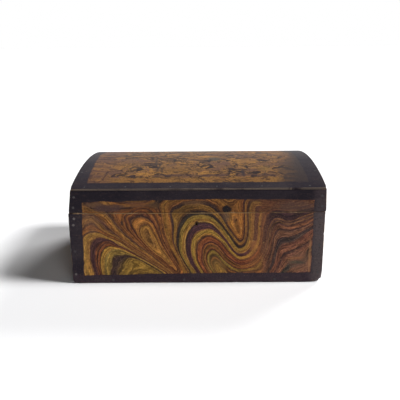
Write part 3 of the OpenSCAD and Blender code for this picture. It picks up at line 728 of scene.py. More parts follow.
def finish_paint(M, P, col, height, rough_add=0.0, wear=None, gloss=0.09, coat=0.02):
    """Old varnish over the paint: satin, with fine crackle, grain and patchy dust in the roughness."""
    crack = M.cells(M.shift(M.times(P, 0.34), M.times(M.noise(M.times(P, 0.12), 1, 3, color=True), 2.2)), 1)
    line = M.rise(crack, 0.05, 0.0)
    col = M.mix(M.op("MULTIPLY", line, 0.28), col, paint(30, 24, 24))
    dust = M.noise(M.times(P, 0.55), 1, 4, 0.6)
    rough = M.op("ADD", M.op("MULTIPLY", dust, 0.22), 0.30 + rough_add)
    if wear is not None:
        rough = M.op("MULTIPLY_ADD", wear, 0.25, rough)
    grain = M.noise(M.times(P, (0.045, 1.1, 1.1)), 1, 3, 0.55)
    fine = M.noise(M.times(P, 1.6), 1, 3, 0.6)
    h = M.op("MULTIPLY_ADD", grain, 0.35, M.op("MULTIPLY", fine, 0.18))
    h = M.op("ADD", h, M.op("MULTIPLY", line, -0.25))
    h = M.op("ADD", h, height)
    M.set(Base_Color=col, Roughness=rough, Normal=M.bump(h, 0.16, 0.6))
    M.b.inputs["Specular IOR Level"].default_value = gloss
    M.b.inputs["Coat Weight"].default_value = coat
    M.b.inputs["Coat Roughness"].default_value = 0.30
    M.b.inputs["Coat IOR"].default_value = 1.48


def streaked(M, P, sw, base, deep=0.42, pale=1.26):
    """The comb's fine streaks along the strokes."""
    x, y, z = M.xyz(P)
    v = M.vec(M.op("MULTIPLY", sw, 3.4), M.op("MULTIPLY", M.op("ADD", x, y), 0.016), M.op("MULTIPLY", z, 0.016))
    s1 = M.noise(v, 1, 2, 0.6)
    v0 = M.vec(M.op("MULTIPLY", sw, 1.05), M.op("MULTIPLY", M.op("ADD", x, y), 0.010), M.op("MULTIPLY", z, 0.010))
    s0 = M.noise(v0, 1, 2, 0.55)
    m0 = M.ramp(s0, [(0.28, 0.50), (0.36, 0.60), (0.41, 1.22), (0.44, 1.05), (0.462, 0.46), (0.486, 0.50), (0.505, 1.30), (0.535, 1.02),
                     (0.56, 0.52), (0.585, 0.55), (0.61, 1.25), (0.66, 0.78), (0.72, 1.10)])
    base = M.mix(1.0, base, m0, "MULTIPLY")
    v2 = M.vec(M.op("MULTIPLY", sw, 9.0), M.op("MULTIPLY", M.op("ADD", x, y), 0.03), M.op("MULTIPLY", z, 0.03))
    s2 = M.noise(v2, 1, 1, 0.5)
    m = M.ramp(s1, [(0.30, deep), (0.37, 0.85), (0.44, 1.02), (0.462, 0.40), (0.484, 1.0), (0.54, 1.10), (0.565, 0.62),
                    (0.59, 1.08), (0.66, 0.95), (0.74, pale)])
    base = M.mix(1.0, base, m, "MULTIPLY")
    m2 = M.ramp(s2, [(0.34, 0.60), (0.46, 0.95), (0.5, 0.72), (0.54, 1.05), (0.68, 1.28)])
    base = M.mix(1.0, base, m2, "MULTIPLY")
    return base, s1, s2


def panel_material(name):
    """The comb-grained panels with their black borders."""
    M = Mat(name)
    P = M.mm()
    x, y, z = M.xyz(P)
    sw = M.attr("sw")
    slow = M.noise(M.times(P, 0.030), 1, 3, 0.5)
    quick = M.noise(M.times(P, 0.16), 1, 3, 0.55)
    sw1 = M.op("ADD", sw, M.op("MULTIPLY", M.op("SUBTRACT", slow, 0.5), 1.0))
    sw2 = M.op("ADD", sw1, M.op("MULTIPLY", M.op("SUBTRACT", quick, 0.5), 0.42))
    left = M.mix(M.rise(sw2, 15.0, 15.4), M.levels(sw2, 0, 16, LEFT), M.levels(sw2, 15, 22.5, PLUME))
    mid = M.levels(sw2, 14.4, 34.6, MIDDLE)
    right = M.levels(sw2, 25.5, 42.2, RIGHT)
    base = M.mix(M.attr("rl"), M.mix(M.attr("rr"), mid, right), left)
    # tone drifts along each stroke
    tone = M.noise(M.vec(M.op("MULTIPLY", sw2, 0.9), M.op("MULTIPLY", M.op("ADD", x, y), 0.025), M.op("MULTIPLY", z, 0.03)), 1, 3, 0.55)
    base = M.mix(1.0, base, M.ramp(tone, [(0.3, (0.70, 0.66, 0.66)), (0.5, (1.0, 1.0, 1.0)), (0.7, (1.20, 1.17, 1.02))]), "MULTIPLY")
    base, s1, s2 = streaked(M, P, sw2, base)
    warm = M.op("MULTIPLY", M.rise(x, 44, 74), M.rise(x, 108, 92))
    base = M.mix(M.op("MULTIPLY", warm, 0.8), base, M.mix(1.0, base, (1.08, 0.90, 0.98), "MULTIPLY"))
    base = M.mix(M.op("MULTIPLY", M.op("MULTIPLY", M.rise(x, 66, 86), M.rise(x, 112, 96)), 0.42), base, paint(106, 70, 42))
    # dry, dusty combing on the right
    v3 = M.vec(M.op("MULTIPLY", sw2, 2.6), M.op("MULTIPLY", x, 0.02), M.op("MULTIPLY", z, 0.02))
    s3 = M.noise(v3, 1, 3, 0.7)
    dry = M.ramp(s3, [(0.34, 0.62), (0.42, 1.12), (0.46, 0.66), (0.50, 1.18), (0.54, 0.74), (0.58, 1.20), (0.63, 0.70), (0.70, 1.12)])
    base = M.mix(M.op("MULTIPLY_ADD", M.attr("rr"), 0.75, 0.12), base, M.mix(1.0, base, dry, "MULTIPLY"))
    mot = M.noise(M.times(P, 0.40), 1, 4, 0.75)
    base = M.mix(1.0, base, M.ramp(mot, [(0.34, (0.56, 0.52, 0.60)), (0.5, (1.0, 1.0, 1.0)), (0.66, (1.36, 1.32, 1.16))]), "MULTIPLY")
    over = M.attr("over", "Color")
    cover = M.attr("over", "Alpha")
    base = M.mix(cover, base, over)
    # dust and rubbed varnish
    veil = M.attr("veil")
    sp = M.noise(M.times(P, 0.75), 1, 4, 0.68)
    base = M.mix(M.op("MULTIPLY", M.rise(sp, 0.59, 0.66), M.op("MULTIPLY_ADD", veil, 0.45, 0.30)), base, paint(142, 110, 74))
    base = M.mix(M.op("MULTIPLY", M.rise(sp, 0.43, 0.35), M.op("MULTIPLY_ADD", veil, 0.35, 0.45)), base, paint(38, 26, 26))
    # border with a hand-painted edge
    e1 = M.noise(M.times(P, 0.05), 1, 2, 0.5)
    e2 = M.noise(M.times(P, 0.45), 1, 3, 0.6)
    bd = M.op("ADD", M.attr("bd"), M.op("ADD", M.op("MULTIPLY_ADD", e1, 2.4, -1.2), M.op("MULTIPLY_ADD", e2, 1.5, -0.75)))
    # right=0.75 paints the border lighter at the front's right end: painted light from the right
    black, bn = black_paint(M, P, right=0.75)
    col = M.mix(M.rise(bd, -0.45, 0.45), black, base)
    # painted shade: the lid's rail and ends are painted darker than the case, and darker again towards the top board's
    # edge, for the shade under that edge
    col = M.mix(M.rise(z, 112.0, 112.6), col, M.mix(1.0, col, (0.66, 0.64, 0.68), "MULTIPLY"))
    col = M.mix(M.rise(z, 131.5, 134.5), col, M.mix(1.0, col, (0.80, 0.76, 0.84), "MULTIPLY"))
    col, wear = worn(M, P, col, M.attr("ed"), 0.0, 0.9)
    h = M.op("ADD", M.op("MULTIPLY", s1, 0.30), M.op("MULTIPLY", s2, 0.15))
    finish_paint(M, P, col, h, 0.02, wear)
    return M.m


def top_material(name):
    """The bent top: ochre with feathery dark mottling inside a black border."""
    M = Mat(name)
    P = M.mm()

    def tp(*c):
        return paint(*c, gain=TOP_GAIN) * np.array([1.0, 0.90, 0.74])

    x, y, z = M.xyz(P)
    q = M.vec(x, y, 0.0)
    clear = M.attr("clear")
    # feathery mottling: ochre dabs with dark brush strokes that curl round them
    w = M.noise(M.times(q, (0.020, 0.020, 0)), 1, 3, 0.5, color=True)
    v = M.shift(M.times(q, (0.017, 0.034, 0)), M.times(w, (1.7, 2.0, 0)))
    n = M.noise(v, 1, 3, 0.58, 0.3)
    ridge = M.op("ABSOLUTE", M.op("SUBTRACT", n, 0.5))
    v2 = M.shift(M.times(q, (0.034, 0.062, 0)), M.times(w, (2.8, 3.4, 0)))
    n2 = M.noise(v2, 1, 3, 0.62, 0.6)
    ridge2 = M.op("ABSOLUTE", M.op("SUBTRACT", n2, 0.47))
    thin = M.noise(M.times(q, (0.060, 0.045, 0)), 1, 2, 0.5)
    ochre = M.mix(M.noise(M.times(q, (0.045, 0.040, 0)), 1, 4, 0.6), tp(112, 80, 50), tp(166, 126, 72))
    mid = M.ramp(n2, [(0.30, tp(96, 70, 60)), (0.39, tp(124, 92, 72)), (0.45, tp(152, 114, 70)), (0.52, tp(168, 126, 70)), (0.57, tp(138, 102, 68)), (0.63, tp(112, 82, 68)), (0.70, tp(150, 110, 70))])
    mottled = M.mix(M.op("MULTIPLY", M.rise(n, 0.53, 0.60), 0.72), mid, tp(102, 76, 68))
    mottled = M.mix(M.op("MULTIPLY", M.rise(n, 0.42, 0.36), 0.80), mottled, tp(178, 132, 72))
    mottled = M.mix(M.op("MULTIPLY", M.rise(ridge, 0.050, 0.024), M.rise(thin, 0.40, 0.54)), mottled, tp(38, 25, 28))
    mottled = M.mix(M.op("MULTIPLY", M.op("MULTIPLY", M.rise(ridge2, 0.045, 0.018), 0.92), M.rise(thin, 0.60, 0.46)), mottled, tp(46, 32, 30))
    hint = M.mix(M.op("MULTIPLY", M.op("MULTIPLY", M.rise(ridge2, 0.050, 0.020), M.rise(thin, 0.60, 0.48)), 0.85), ochre, tp(58, 40, 36))
    base = M.mix(clear, mottled, hint)
    s = M.noise(M.times(q, (0.35, 0.25, 0)), 1, 4, 0.65)
    base = M.mix(1.0, base, M.ramp(s, [(0.32, 0.60), (0.5, 1.0), (0.68, 1.34)]), "MULTIPLY")
    base = M.mix(M.attr("over", "Alpha"), base, M.attr("over", "Color"))
    sp = M.noise(M.times(P, 0.8), 1, 4, 0.68)
    base = M.mix(M.op("MULTIPLY", M.rise(sp, 0.46, 0.30), 0.30), base, tp(48, 38, 36))
    e1 = M.noise(M.times(P, 0.045), 1, 2, 0.5)
    e2 = M.noise(M.times(P, 0.40), 1, 3, 0.6)
    bd = M.op("ADD", M.attr("bd"), M.op("ADD", M.op("MULTIPLY_ADD", e1, 3.0, -1.5), M.op("MULTIPLY_ADD", e2, 2.0, -1.0)))
    black, bn = black_paint(M, P, 0.4, 0.80)
    col = M.mix(M.rise(bd, -0.8, 0.8), black, base)
    col, wear = worn(M, P, col, M.attr("ed"), 0.15, 1.1, tone=(132, 118, 102), much=0.9)
    col = M.mix(M.op("MULTIPLY", M.rise(M.attr("ed"), 0.85, 0.20), M.rise(M.noise(M.times(P, 0.04), 1, 2, 0.5), 0.22, 0.50)), col, paint(124, 110, 98, gain=TOP_GAIN))
    h = M.op("MULTIPLY", M.noise(M.times(q, (0.05, 0.5, 0)), 1, 4, 0.6), 0.5)
    finish_paint(M, P, col, h, 0.08, wear, gloss=0.05, coat=0.0)
    return M.m


def dark_material(name, wear_z):
    """Plain black paint of the back, rubbed brown."""
    M = Mat(name)
    P = M.mm()
    x, y, z = M.xyz(P)
    black, n2 = black_paint(M, P, 0.6)
    streak = M.noise(M.times(P, (0.02, 0.5, 0.5)), 1, 4, 0.6)
    black = M.mix(M.op("MULTIPLY", M.rise(streak, 0.52, 0.7), 0.5), black, paint(78, 62, 52))
    # distance to the nearest edge: the second smallest of the distances to the outer faces
    ex = M.op("ABSOLUTE", M.op("SUBTRACT", HW - 0.4, M.op("ABSOLUTE", x)))
    ey = M.op("ABSOLUTE", M.op("SUBTRACT", HD, M.op("ABSOLUTE", y)))
    ez = M.op("ABSOLUTE", M.op("SUBTRACT", z, wear_z))
    ed = M.op("MAXIMUM", M.op("MINIMUM", ex, ey), M.op("MINIMUM", M.op("MAXIMUM", ex, ey), ez))
    col, wear = worn(M, P, black, ed, 0.0, 0.9)
    finish_paint(M, P, col, M.op("MULTIPLY", streak, 0.4), 0.08, wear)
    return M.m


def pine_material(name, tint=(1.0, 1.0, 1.0), along="x"):
    """Bare aged pine with grain, stains and dirt."""
    M = Mat(name)
    P = M.mm()
    x, y, z = M.xyz(P)
    a, b, c = (x, y, z) if along == "x" else (y, x, z)
    bend = M.noise(M.times(P, 0.012), 1, 2, 0.5)
    r = M.op("ADD", M.op("ADD", M.op("MULTIPLY", b, 0.23), M.op("MULTIPLY", c, 0.19)), M.op("MULTIPLY", bend, 4.5))
    ring = M.noise(M.vec(r, M.op("MULTIPLY", a, 0.004), 0.0), 1, 2, 0.5)
    fine = M.noise(M.vec(M.op("MULTIPLY", r, 6.0), M.op("MULTIPLY", a, 0.02), M.op("MULTIPLY", c, 0.1)), 1, 3, 0.6)
    col = M.mix(M.rise(ring, 0.30, 0.72), [v * t for v, t in zip(lin((152, 116, 76)), tint)], [v * t for v, t in zip(lin((122, 86, 52)), tint)])
    col = M.mix(M.op("MULTIPLY", fine, 0.45), col, lin((94, 64, 38)))
    stain = M.noise(M.times(P, 0.014), 1, 4, 0.6)
    col = M.mix(M.op("MULTIPLY", M.rise(stain, 0.50, 0.70), 0.55), col, lin((70, 50, 34)))
    dirt = M.noise(M.times(P, 0.7), 1, 4, 0.7)
    col = M.mix(M.op("MULTIPLY", M.rise(dirt, 0.56, 0.74), 0.4), col, lin((52, 38, 28)))
    h = M.op("ADD", M.op("MULTIPLY", ring, 0.5), M.op("MULTIPLY", fine, 0.5))
    M.set(Base_Color=col, Roughness=M.op("MULTIPLY_ADD", dirt, 0.2, 0.62), Normal=M.bump(h, 0.25, 0.6))
    M.b.inputs["Specular IOR Level"].default_value = 0.3
    return M.m


def iron_material(name):
    M = Mat(name)
    P = M.mm()
    n = M.noise(M.times(P, 0.35), 1, 5, 0.65)
    n2 = M.noise(M.times(P, 2.2), 1, 4, 0.65)
    col = M.mix(M.rise(n, 0.42, 0.62), lin((52, 47, 45)), lin((92, 60, 42)))
    col = M.mix(M.op("MULTIPLY", M.rise(n2, 0.52, 0.7), 0.6), col, lin((122, 76, 46)))
    M.set(Base_Color=col, Metallic=M.op("MULTIPLY_ADD", n, -0.8, 1.0, clamp=True),
          Roughness=M.op("MULTIPLY_ADD", n2, 0.35, 0.38), Normal=M.bump(M.op("ADD", n2, M.op("MULTIPLY", n, 0.6)), 0.12, 0.7))
    return M.m


def brass_material(name):
    M = Mat(name)
    P = M.mm()
    n = M.noise(M.times(P, 0.22), 1, 5, 0.62)
    n2 = M.noise(M.times(P, (1.2, 5.0, 5.0)), 1, 4, 0.6)
    col = M.mix(M.rise(n, 0.35, 0.65), lin((150, 118, 62)), lin((96, 74, 44)))
    col = M.mix(M.op("MULTIPLY", M.rise(n2, 0.55, 0.75), 0.5), col, lin((70, 58, 42)))
    M.set(Base_Color=col, Metallic=0.92, Roughness=M.op("MULTIPLY_ADD", n, 0.35, 0.26), Normal=M.bump(n2, 0.05, 0.6))
    return M.m


def nail_material(name, gain=PANEL_GAIN):
    """Nail heads under worn black paint, rubbed paler on some heads at the left end."""
    M = Mat(name)
    P = M.mm()
    n = M.noise(M.times(P, 0.8), 1, 4, 0.65)
    n1 = M.noise(M.times(P, 0.03), 1, 2, 0.5)
    x, y, z = M.xyz(P)
    bare = M.op("MULTIPLY", M.rise(x, -176, -181), M.rise(M.op("ABSOLUTE", M.op("SUBTRACT", z, 60)), 30, 34))
    bare = M.op("MULTIPLY", bare, M.rise(z, 118, 112))
    col = M.mix(M.rise(n, 0.42, 0.62), paint(22, 17, 22, gain=gain), paint(40, 33, 35, gain=gain))
    col = M.mix(M.op("MULTIPLY", bare, 0.8), col, paint(74, 67, 66))
    M.set(Base_Color=col, Roughness=M.op("MULTIPLY_ADD", n, 0.3, 0.35), Metallic=0.15, Normal=M.bump(n, 0.15, 0.7))
    return M.m


PANEL = panel_material("comb_grained_paint")
TOP = top_material("mottled_top_paint")
BACK = dark_material("black_back_paint", HC)
BACK_LID = dark_material("black_lid_back_paint", ZL)
PINE = pine_material("bare_pine")
PINE_Y = pine_material("bare_pine_ends", along="y")
PINE_LOW = pine_material("bare_pine_bottom", (0.9, 0.88, 0.86))
IRON = iron_material("old_iron_rust")
BRASS = brass_material("tarnished_brass")
NAIL = nail_material("painted_nail")
BRAD = nail_material("painted_brad", TOP_GAIN * 0.62)


# ------------------------------------------------------------------ boards
def span(node):
    lo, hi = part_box(node)
    return [(lo[i] * 1000, hi[i] * 1000) for i in range(3)]


def uneven(p, seed, depth=0.10):
    """A slow hand-planed wave over the front and end faces."""
    x, y, z = p.T
    return depth * (fbm((x + y) / 46, z / 31, seed, 3) - 0.5)


KNOCKS = [(-189, -134, 53.9, 3.5, 0.9, (1, 1, 0)), (190, -134, 78, 3.0, 0.7, (-1, 1, 0)), (188, -134, 40, 2.6, 0.6, (-1, 1, 0)),
          (-186, -134, 30, 2.2, 0.5, (1, 1, 0)), (60, -134, 0, 4.0, 0.7, (0, 1, 1)), (-95, -134, 0, 3.4, 0.6, (0, 1, 1)),
          (24, -134, 112, 2.2, 0.4, (0, 1, -1)), (-70, -134, 112, 2.0, 0.35, (0, 1, -1)), (132, -134, 112, 3.0, 0.5, (0, 1, -1))]


def wood_piece(name, node, body, grid, mould, planes, radius, attrs, painted, mats, cuts=(), skin=None):
    """A detailed board in place of its CAD node. mould turns grid points into the board's shape, attrs gives the paint's
    attributes from the points, painted says which faces carry paint."""
    v, f = grid_box(*grid)
    p = mould(v.copy())
    if skin is not None:
        p = skin(p)
    o = to_mesh(name, p, f, body, [node])
    if cuts:
        cut(o, cuts)
    q = coords(o)
    s = soften(q, planes, radius(q))
    o.data.vertices.foreach_set("co", (s * 0.001).astype(np.float32).ravel())
    write(o, "ed", edge_distance(q, planes))
    for k, a in (attrs(q) if attrs else {}).items():
        write(o, k, a)
    o.data.update()
    if painted is None:
        materials(o, mats, lambda c, n: np.zeros(len(c)))
    else:
        materials(o, mats, lambda c, n: np.where(painted(c, n), 0, 1))
    shade(o)
    return o


# front board of the case
KEY_Z = 96.5
(fx0, fx1), (fy0, fy1), (fz0, fz1) = span("front_board")


def front_skin(p):
    """Front face a hair behind the CAD face, uneven, and dented."""
    w = np.clip((fy1 - p[:, 1]) / 12, 0, 1)
    p = p.copy()
    p[:, 1] += SKIN * (2 * w - 1) * 0.9 + w * np.abs(uneven(p, 81, 0.35))
    return knocks(p, KNOCKS)


front = wood_piece(
    "front_board_detail", "front_board", "case",
    (lines(fx0 + SKIN, fx1 - SKIN, 1.25), lines(fy0, fy1, 3.0), lines(fz0, fz1, 1.25)),
    lambda v: v, planes_case(), case_radius,
    lambda q: front_paint(q[:, 0], q[:, 2]),
    lambda c, n: (n[:, 1] < -0.25) | ((np.abs(n[:, 0]) > 0.5) & (np.abs(c[:, 0]) > 186)) & (c[:, 1] < -121) & (c[:, 2] < 111.2),
    [PANEL, PINE],
    cuts=[block(-21, 21, -130.5, -121, 83, 113), block(-26.05, 26.05, -123.55, -121, 79.95, 113),
          rod_y(0, KEY_Z, 1.75, -136, -129), block(-0.95, 0.95, -136, -129, KEY_Z - 4.3, KEY_Z)],
    skin=front_skin)

# front rail of the lid
(rx0, rx1), (ry0, ry1), (rz0, rz1) = span("lid_front_rail")


def lid_x(u, z):
    """u from 0 at the lid's left face to 1 at its right face."""
    t = (z - ZL) / (ZE - ZL)
    a, b = XL0 + (XL1 - XL0) * t + SKIN, XR0 + (XR1 - XR0) * t - SKIN
    return a + (b - a) * u


def under(y):
    return DOME_Z + np.sqrt(UNDER_R ** 2 - y ** 2)


def rail_mould(v):
    w = (v[:, 2] - 112.3) / 37.0
    z = ZL + w * (under(v[:, 1]) - ZL - 0.05)
    u = (v[:, 0] - rx0) / (rx1 - rx0)
    return np.stack([lid_x(u, z), v[:, 1], z], 1)


def rail_skin(p):
    w = np.clip((ry1 - p[:, 1]) / 12, 0, 1)
    p = p.copy()
    p[:, 1] += SKIN * (2 * w - 1) * 0.9 + w * np.abs(uneven(p, 83, 0.35))
    # the top arris of the rail is worn, so that a thin shadow lies under the top board
    top = np.exp(-((under(p[:, 1]) - p[:, 2]) / 0.55) ** 2)
    p[:, 1] += w ** 4 * top * (0.55 + 0.35 * fbm(p[:, 0] / 20, p[:, 2] / 20, 85, 2))
    return knocks(p, [(44, -134, 112.5, 1.8, 0.6, (0, 1, 1)), (-100, -134, 112.5, 2.0, 0.35, (0, 1, 1)), (150, -134, 112.5, 2.6, 0.4, (0, 1, 1))])


rail = wood_piece(
    "lid_front_rail_detail", "lid_front_rail", "lid",
    (lines(rx0, rx1, 1.25), lines(ry0, ry1, 3.0), lines(112.3, 149.3, 1.25)),
    rail_mould, planes_lid(), lid_radius,
    lambda q: front_paint(q[:, 0], q[:, 2]),
    lambda c, n: (n[:, 1] < -0.25) | ((np.abs(n[:, 0]) > 0.5) & (np.abs(c[:, 0]) > 180) & (c[:, 1] < -121)),
    [PANEL, PINE],
    cuts=[block(-18.05, 18.05, -130.5, -122.75, 112, 113.85)],
    skin=rail_skin)

# ends of the case and of the lid
for side, name in ((-1, "left"), (1, "right")):
    node = f"{name}_end_board"
    (a0, a1), (b0, b1), (c0, c1) = span(node)

    def end_skin(p, side=side, a0=a0, a1=a1):
        w = np.clip((p[:, 0] * side - 177) / 13, 0, 1)
        p = p.copy()
        p[:, 0] -= side * w * (SKIN + np.abs(uneven(p, 87 + side, 0.3)))
        return p

    def end_attrs(q, side=side):
        return end_paint(side)(q[:, 1], q[:, 2])

    wood_piece(
        f"{node}_detail", node, "case",
        (lines(a0, a1, 3.0), lines(b0, b1, 1.7, at=(False, False)), lines(c0, c1, 1.7)),
        lambda v: v, planes_case(), case_radius, end_attrs,
        lambda c, n, side=side: (n[:, 0] * side > 0.25) & (c[:, 0] * side > 184) | (n[:, 2] < -0.9) & (c[:, 0] * side > 189),
        [PANEL, PINE_Y], skin=end_skin)

    node = f"lid_{name}_end"
    (a0, a1), (b0, b1), (c0, c1) = span(node)

    def lid_end_mould(v, side=side, a0=a0, a1=a1, c1=c1):
        w = (v[:, 2] - 112.3) / 50.0
        z = ZL + w * (under(v[:, 1]) - ZL - 0.05)
        t = (z - ZL) / (ZE - ZL)
        outer = XL0 + (XL1 - XL0) * t if side < 0 else XR0 + (XR1 - XR0) * t
        return np.stack([outer - side * (SKIN + v[:, 0]), v[:, 1], z], 1)

    def lid_end_skin(p, side=side):
        t = (p[:, 2] - ZL) / (ZE - ZL)
        outer = XL0 + (XL1 - XL0) * t if side < 0 else XR0 + (XR1 - XR0) * t
        w = np.clip(1 - np.abs(outer - p[:, 0]) / 13, 0, 1)
        p = p.copy()
        p[:, 0] -= side * w * np.abs(uneven(p, 91 + side, 0.3))
        top = np.exp(-((under(p[:, 1]) - p[:, 2]) / 0.55) ** 2)
        p[:, 0] -= side * w ** 4 * top * 0.5
        return p

    grid_x = lines(0, 13 - SKIN, 3.0)
    if side < 0:
        gx = grid_x
    else:
        gx = grid_x
    piece = wood_piece(
        f"{node}_detail", node, "lid",
        (gx, lines(b0, b1, 1.7, at=(False, False)), lines(112.3, 162.3, 1.7)),
        lid_end_mould, planes_lid(), lid_radius, end_attrs,
        lambda c, n, side=side: (n[:, 0] * side > 0.25) & (c[:, 0] * side > 172),
        [PANEL, PINE_Y], skin=lid_end_skin)
    if side > 0:
        piece.data.flip_normals()
        materials(piece, [PANEL, PINE_Y], lambda c, n: np.where((n[:, 0] > 0.25) & (c[:, 0] > 172), 0, 1))
        shade(piece)

# the bottom
(b0, b1), (c0, c1), (d0, d1) = span("bottom_board")
wood_piece(
    "bottom_board_detail", "bottom_board", "case",
    (lines(b0, b1, 6.0), lines(c0, c1, 6.0), lines(d0, d1, 3.0)),
    lambda v: v + np.stack([0 * v[:, 0], 0 * v[:, 0], np.where(v[:, 2] > 5, -0.25, 0.35) * fbm(v[:, 0] / 40, v[:, 1] / 60, 95, 3)], 1),
    planes_case(), lambda q: np.full(len(q), 0.3), None, None, [PINE_LOW])

# the bent top board
(t0, t1), (s0, s1), (q0, q1) = span("lid_top")


def top_mould(v):
    """Grid x, arc length, depth below the surface."""
    a = v[:, 1] / DOME_R
    r = DOME_R - v[:, 2]
    return np.stack([v[:, 0], r * np.sin(a), DOME_Z + r * np.cos(a)], 1)


def top_skin(p):
    p = p.copy()
    r = np.hypot(p[:, 1], p[:, 2] - DOME_Z)
    w = np.clip((r - UNDER_R) / 3, 0, 1)
    sink = w * (0.06 + np.abs(0.55 * (fbm(p[:, 0] / 60, p[:, 1] / 40, 97, 3) - 0.5)))
    n = np.stack([0 * r, p[:, 1] / r, (p[:, 2] - DOME_Z) / r], 1)
    p = p - n * sink[:, None]
    # the front edge is chipped and rubbed a little
    edge = np.exp(-((p[:, 1] + 134.4) / 1.2) ** 2)
    p[:, 1] += edge * 0.45 * step(0.45, 0.8, fbm(p[:, 0] / 9, p[:, 0] * 0 + 3, 99, 3))
    return p


arc = DOME_R * math.asin(134.38 / DOME_R)
v, f = grid_box(lines(t0 + 0.05, t1 - 0.05, 1.7, fine=(0, 0.3, 0.7, 1.2, 2.0, 3.2)), lines(-arc, arc, 1.7, fine=(0, 0.3, 0.7, 1.2, 2.0, 3.2)), np.array([0, 0.35, 0.8, 1.5, 2.2, 2.65, 3.0]))
p = top_mould(v)
d_side = np.minimum(v[:, 0] - t0, t1 - v[:, 0])
d_front = arc - np.abs(v[:, 1])
lim = 0.75 + 0.5 * fbm(v[:, 0] / 14, v[:, 1] / 14, 101, 3)
corner = np.exp(-(np.hypot(d_side, d_front) / 5) ** 2)
# rounding of the rim: the surface drops towards the edge, and the corners come in
top_face = v[:, 2] < 1.5
ed_top = np.minimum(d_side, d_front)
drop = np.clip(lim - ed_top, 0, None) ** 2 / (2 * lim)
p = top_skin(p)
rr_ = np.hypot(p[:, 1], p[:, 2] - DOME_Z)
nn = np.stack([0 * rr_, p[:, 1] / rr_, (p[:, 2] - DOME_Z) / rr_], 1)
p = p - nn * (drop * np.clip((1.5 - v[:, 2]) / 1.5, 0, 1))[:, None]
low = drop * np.clip((v[:, 2] - 1.8) / 1.2, 0, 1) * 0.4
p = p + nn * low[:, None]
pull = 1.1 * corner
p[:, 0] -= np.sign(v[:, 0]) * pull * np.clip(1 - d_side / 4, 0, 1)
p[:, 1] -= np.sign(v[:, 1]) * pull * np.clip(1 - d_front / 4, 0, 1)
top = to_mesh("lid_top_detail", p, f[:, ::-1], "lid", ["lid_top"])
write(top, "ed", np.where(v[:, 2] < 0.01, ed_top, np.where(ed_top < 0.05, np.minimum(v[:, 2], 3 - v[:, 2]) * 0.6, 9)))
for k, a in top_paint(v[:, 0], p[:, 1]).items():
    write(top, k, a)
materials(top, [TOP, PINE], lambda c, n: np.where((np.hypot(c[:, 1], c[:, 2] - DOME_Z) > UNDER_R + 0.25), 0, 1))
shade(top, 50)

# ------------------------------------------------------------------ CAD nodes that stay
for node, mat in {"back_board": BACK, "lid_back_rail": BACK_LID}.items():
    o = NODES[node]
    o.data.materials.clear()
    o.data.materials.append(mat)
    o.data.materials.append(PINE)
    n = len(o.data.polygons)
    c, no = np.zeros(n * 3, np.float32), np.zeros(n * 3, np.float32)
    o.data.polygons.foreach_get("center", c)
    o.data.polygons.foreach_get("normal", no)
    c, no = c.reshape(-1, 3) * 1000, no.reshape(-1, 3)
    out = (no[:, 1] > 0.3) & (c[:, 1] > 126) | (np.abs(no[:, 0]) > 0.5) & (np.abs(c[:, 0]) > 180)
    o.data.polygons.foreach_set("material_index", np.where(out, 0, 1).astype(np.int32))
    o.data.update()

for node, mat in {
    "case_nails": NAIL, "bottom_nails": NAIL, "lid_nails": NAIL, "lid_top_brads": BRAD,
    "hinge_left_case_leaf": IRON, "hinge_right_case_leaf": IRON, "hinge_left_lid_leaf": IRON, "hinge_right_lid_leaf": IRON,
    "hinge_left_pin": IRON, "hinge_right_pin": IRON, "hinge_case_screws": IRON, "hinge_lid_screws": IRON,
    "lock_plate": BRASS, "lock_case": BRASS, "lock_screws": BRASS, "lock_bolt": BRASS, "lock_staple": BRASS, "staple_eye": BRASS,
    "staple_screws": BRASS, "lock_key_post": IRON, "lock_spring": IRON,
}.items():
    o = NODES[node]
    o.data.materials.clear()
    o.data.materials.append(mat)
    if not o.name.endswith(("nails", "brads")):
        b = o.modifiers.new("soft_edges", "BEVEL")
        b.width = 0.00018
        b.segments = 2
        b.limit_method = "ANGLE"
        b.angle_limit = math.radians(50)
        b.use_clamp_overlap = True

# ------------------------------------------------------------------ studio
me = bpy.data.meshes.new("floor")
s = 14.0
me.from_pydata([(-s, -s, 0), (s, -s, 0), (s, s, 0), (-s, s, 0)], [], [(0, 1, 2, 3)])
floor = bpy.data.objects.new("floor", me)
bpy.context.scene.collection.objects.link(floor)
floor.location.z = -0.0002
fm = bpy.data.materials.new("floor_white")
fm.use_nodes = True
fb = fm.node_tree.nodes["Principled BSDF"]
fb.inputs["Base Color"].default_value = (0.86, 0.86, 0.87, 1)
fb.inputs["Roughness"].default_value = 0.9
fb.inputs["Specular IOR Level"].default_value = 0.0
me.materials.append(fm)

world = bpy.data.worlds.new("studio")
bpy.context.scene.world = world
world.use_nodes = True
wt = world.node_tree
bg = wt.nodes["Background"]
bg.inputs["Color"].default_value = (1.0, 1.0, 1.0, 1)
lp = wt.nodes.new("ShaderNodeLightPath")
mr = wt.nodes.new("ShaderNodeMapRange")
mr.inputs["To Min"].default_value = 1.0
mr.inputs["To Max"].default_value = 0.035
wt.links.new(lp.outputs["Is Diffuse Ray"], mr.inputs["Value"])
wt.links.new(mr.outputs[0], bg.inputs["Strength"])


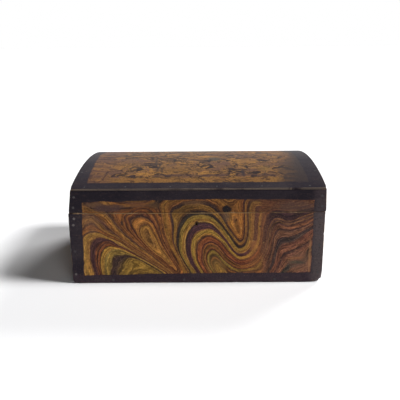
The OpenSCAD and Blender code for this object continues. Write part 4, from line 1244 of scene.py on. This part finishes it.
def aim(o, target):
    d = np.array(target, float) - np.array(o.location)
    d /= np.linalg.norm(d)
    up = np.array([0, 0, 1.0])
    r = np.cross(d, up)
    r /= np.linalg.norm(r)
    u = np.cross(r, d)
    o.matrix_world = Matrix(((r[0], u[0], -d[0], o.location[0]), (r[1], u[1], -d[1], o.location[1]), (r[2], u[2], -d[2], o.location[2]), (0, 0, 0, 1)))


def sun(name, azimuth, elevation, strength, size):
    """azimuth from +X towards -Y (the viewer), in degrees."""
    l = bpy.data.lights.new(name, "SUN")
    l.energy = strength
    l.angle = math.radians(size)
    o = bpy.data.objects.new(name, l)
    bpy.context.scene.collection.objects.link(o)
    a, e = math.radians(azimuth), math.radians(elevation)
    o.location = (3 * math.cos(e) * math.cos(a), -3 * math.cos(e) * math.sin(a), 3 * math.sin(e))
    aim(o, (0, 0, 0.05))
    return o


sun("key", 6, 44, 4.3, 20)
sun("front_right", 66, 12, 1.04, 24).visible_glossy = False
sun("front_fill", 104, 10, 0.24, 50).visible_glossy = False
sun("back_light", -55, 31, 2.8, 26).visible_glossy = False

# ------------------------------------------------------------------ camera
cam = bpy.data.cameras.new("camera")
cam.lens = 50.4
cam.sensor_width = 36.0
cam.clip_start = 0.05
cam.clip_end = 60
co = bpy.data.objects.new("camera", cam)
bpy.context.scene.collection.objects.link(co)
pitch, yaw, roll = math.radians(16.53), math.radians(-0.41), math.radians(-0.49)
fw = np.array([math.sin(yaw) * math.cos(pitch), math.cos(yaw) * math.cos(pitch), -math.sin(pitch)])
r0 = np.array([math.cos(yaw), -math.sin(yaw), 0.0])
u0 = np.cross(r0, fw)
right = math.cos(roll) * r0 + math.sin(roll) * u0
up = -math.sin(roll) * r0 + math.cos(roll) * u0
loc = (0.01086, -0.91892, 0.36476)
co.matrix_world = Matrix(((right[0], up[0], -fw[0], loc[0]), (right[1], up[1], -fw[1], loc[1]), (right[2], up[2], -fw[2], loc[2]), (0, 0, 0, 1)))
bpy.context.scene.camera = co

scene = bpy.context.scene
scene.view_settings.view_transform = "Standard"
scene.view_settings.look = "None"
scene.view_settings.exposure = 0.0
scene.view_settings.gamma = 1.0

bpy.context.view_layer.update()
